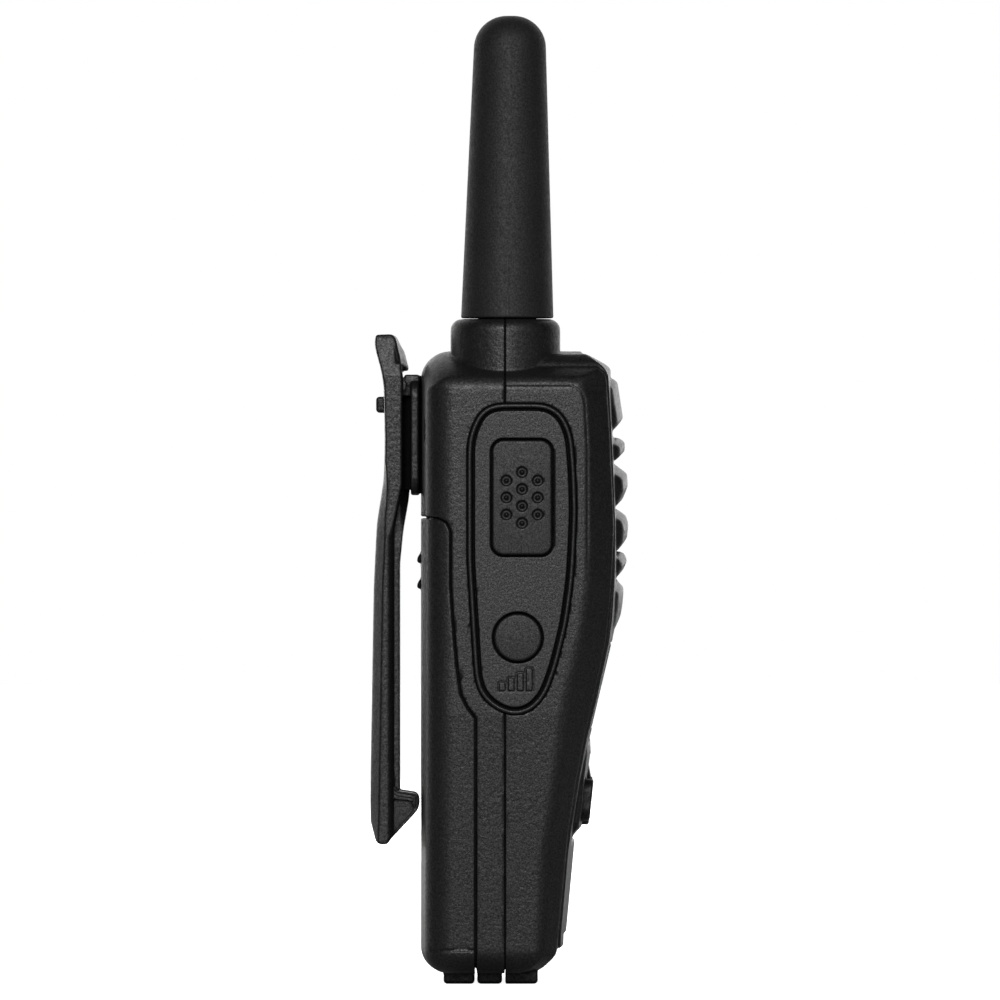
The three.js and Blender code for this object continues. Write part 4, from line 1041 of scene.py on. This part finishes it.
# ---- finishes of the carried-over nodes
FINISHES = [
    (STEEL, ["ptt_switch", "squelch_switch", "jack_socket", "speaker_magnet", "rf_shield", "microphone",
             "clip_pin", "clip_spring"]
            + [f"{kind}_{i}" for kind in ("cell_spring", "contact_plate") for i in (1, 2, 3)]
            + [f"housing_screw_{i}" for i in (1, 2, 3, 4)]),
    (DARK_STEEL, ["speaker_frame"]),
    (BRASS, ["antenna_coil"]),
    (DISPLAY, ["lcd_panel"]),
    (DIFFUSER, ["lcd_backlight"]),
    (CONE, ["speaker_cone"]),
    (FELT, ["speaker_felt"]),
    (RUBBER, ["key_mat"]),
    (BOARD, ["main_board"]),
    (JACKET, ["cell_1", "cell_2", "cell_3"]),
]
for material, names in FINISHES:
    for name in names:
        nodes[name].data.materials.clear()
        nodes[name].data.materials.append(material)


# ---- floor, light and camera
FLOOR_GLOW = 0.95
FLOOR_BOUNCE = 0.12
# Brightness of the room from straight before the radio's side (0) to straight behind it (1).
GLOW_AXIS = Vector((0.97, 0.07, -0.22)).normalized()
WORLD_GLOW = [
    (0, 1), (0.04, 0.75), (0.1, 0.4), (0.2, 0.2), (0.3, 0.08), (0.6, 0.02), (0.75, 0.5), (0.9, 3.2), (1, 4),
]


def floor():
    """A pale floor, bright enough to melt into the white background."""
    bpy.ops.mesh.primitive_circle_add(vertices=96, radius=4, fill_type="NGON", location=(0, 0, 0))
    made = bpy.context.object
    made.name = "floor"
    material, tree, shader, place_ = new_material("pale_floor")
    ray = tree.nodes.new("ShaderNodeLightPath")
    seen = product(tree, ray.outputs["Is Camera Ray"], spread(tree, noise(tree, place_, 60), 0.95, 1))
    tone = shade_between(tree, seen, [FLOOR_BOUNCE] * 3, (0.5, 0.5, 0.5))
    tree.links.new(tone, shader.inputs["Base Color"])
    shader.inputs["Roughness"].default_value = 0.9
    glow = spread(tree, ray.outputs["Is Camera Ray"], 0.02, FLOOR_GLOW, 0, 1)
    tree.links.new(glow, shader.inputs["Emission Strength"])
    shader.inputs["Emission Color"].default_value = (1, 1, 1, 1)
    made.data.materials.append(material)


def softbox(name, place_, aim, size, power):
    """A rectangular area light, size in metres and power in watts."""
    light = bpy.data.lights.new(name, "AREA")
    light.shape = "RECTANGLE"
    light.size, light.size_y = size
    light.energy = power
    made = bpy.data.objects.new(name, light)
    bpy.context.scene.collection.objects.link(made)
    made.location = place_
    made.rotation_mode = "QUATERNION"
    made.rotation_quaternion = (Vector(aim) - Vector(place_)).to_track_quat("-Z", "Y")
    return made


def surroundings():
    """A dim room with a white sweep behind the radio and a soft wall of light before it."""
    world = bpy.data.worlds.new("room")
    bpy.context.scene.world = world
    world.use_nodes = True
    tree = world.node_tree
    tree.nodes.clear()
    out = tree.nodes.new("ShaderNodeOutputWorld")
    coords = tree.nodes.new("ShaderNodeTexCoord")
    across = tree.nodes.new("ShaderNodeVectorMath")
    across.operation = "DOT_PRODUCT"
    across.inputs[1].default_value = GLOW_AXIS
    tree.links.new(coords.outputs["Generated"], across.inputs[0])
    ramp = tree.nodes.new("ShaderNodeFloatCurve")
    curve = ramp.mapping.curves[0]
    for at, glow in WORLD_GLOW[1:-1]:
        curve.points.new(at, glow)
    curve.points[0].location = WORLD_GLOW[0]
    curve.points[-1].location = WORLD_GLOW[-1]
    ramp.mapping.update()
    tree.links.new(spread(tree, across.outputs["Value"], 0, 1, -1, 1), ramp.inputs["Value"])
    dim = tree.nodes.new("ShaderNodeBackground")
    dim.inputs["Color"].default_value = (1, 1, 1, 1)
    tree.links.new(ramp.outputs["Value"], dim.inputs["Strength"])
    seen = tree.nodes.new("ShaderNodeBackground")
    seen.inputs["Color"].default_value = (1, 1, 1, 1)
    seen.inputs["Strength"].default_value = 1.0
    ray = tree.nodes.new("ShaderNodeLightPath")
    mix = tree.nodes.new("ShaderNodeMixShader")
    tree.links.new(ray.outputs["Is Camera Ray"], mix.inputs["Fac"])
    tree.links.new(dim.outputs["Background"], mix.inputs[1])
    tree.links.new(seen.outputs["Background"], mix.inputs[2])
    tree.links.new(mix.outputs["Shader"], out.inputs["Surface"])
    bpy.context.scene.view_settings.view_transform = "Standard"


def camera():
    """A long lens square on to the push-to-talk side."""
    data = bpy.data.cameras.new("camera")
    distance = 2.5
    seen_height = 0.1675
    data.sensor_width = 36
    data.lens = data.sensor_width * distance / seen_height
    data.clip_start, data.clip_end = 0.05, 20
    made = bpy.data.objects.new("camera", data)
    bpy.context.scene.collection.objects.link(made)
    made.rotation_mode = "QUATERNION"
    made.location = (-distance, -0.0016, 0.0805)
    made.rotation_quaternion = Vector((1, 0, 0)).to_track_quat("-Z", "Y")
    bpy.context.scene.camera = made


floor()
surroundings()
softbox("key_light", (-0.75, 0.05, 0.36), (0, 0, 0.1), (0.4, 0.4), 2.3)
# Dull fills for the front and the back: their shine is left out, so the side keeps its dark edges.
for name, depth in [("front_fill", -0.8), ("rear_fill", 0.8)]:
    softbox(name, (1.3, depth, 0.4), (0, 0, 0.08), (1, 1), 60).visible_glossy = False
camera()
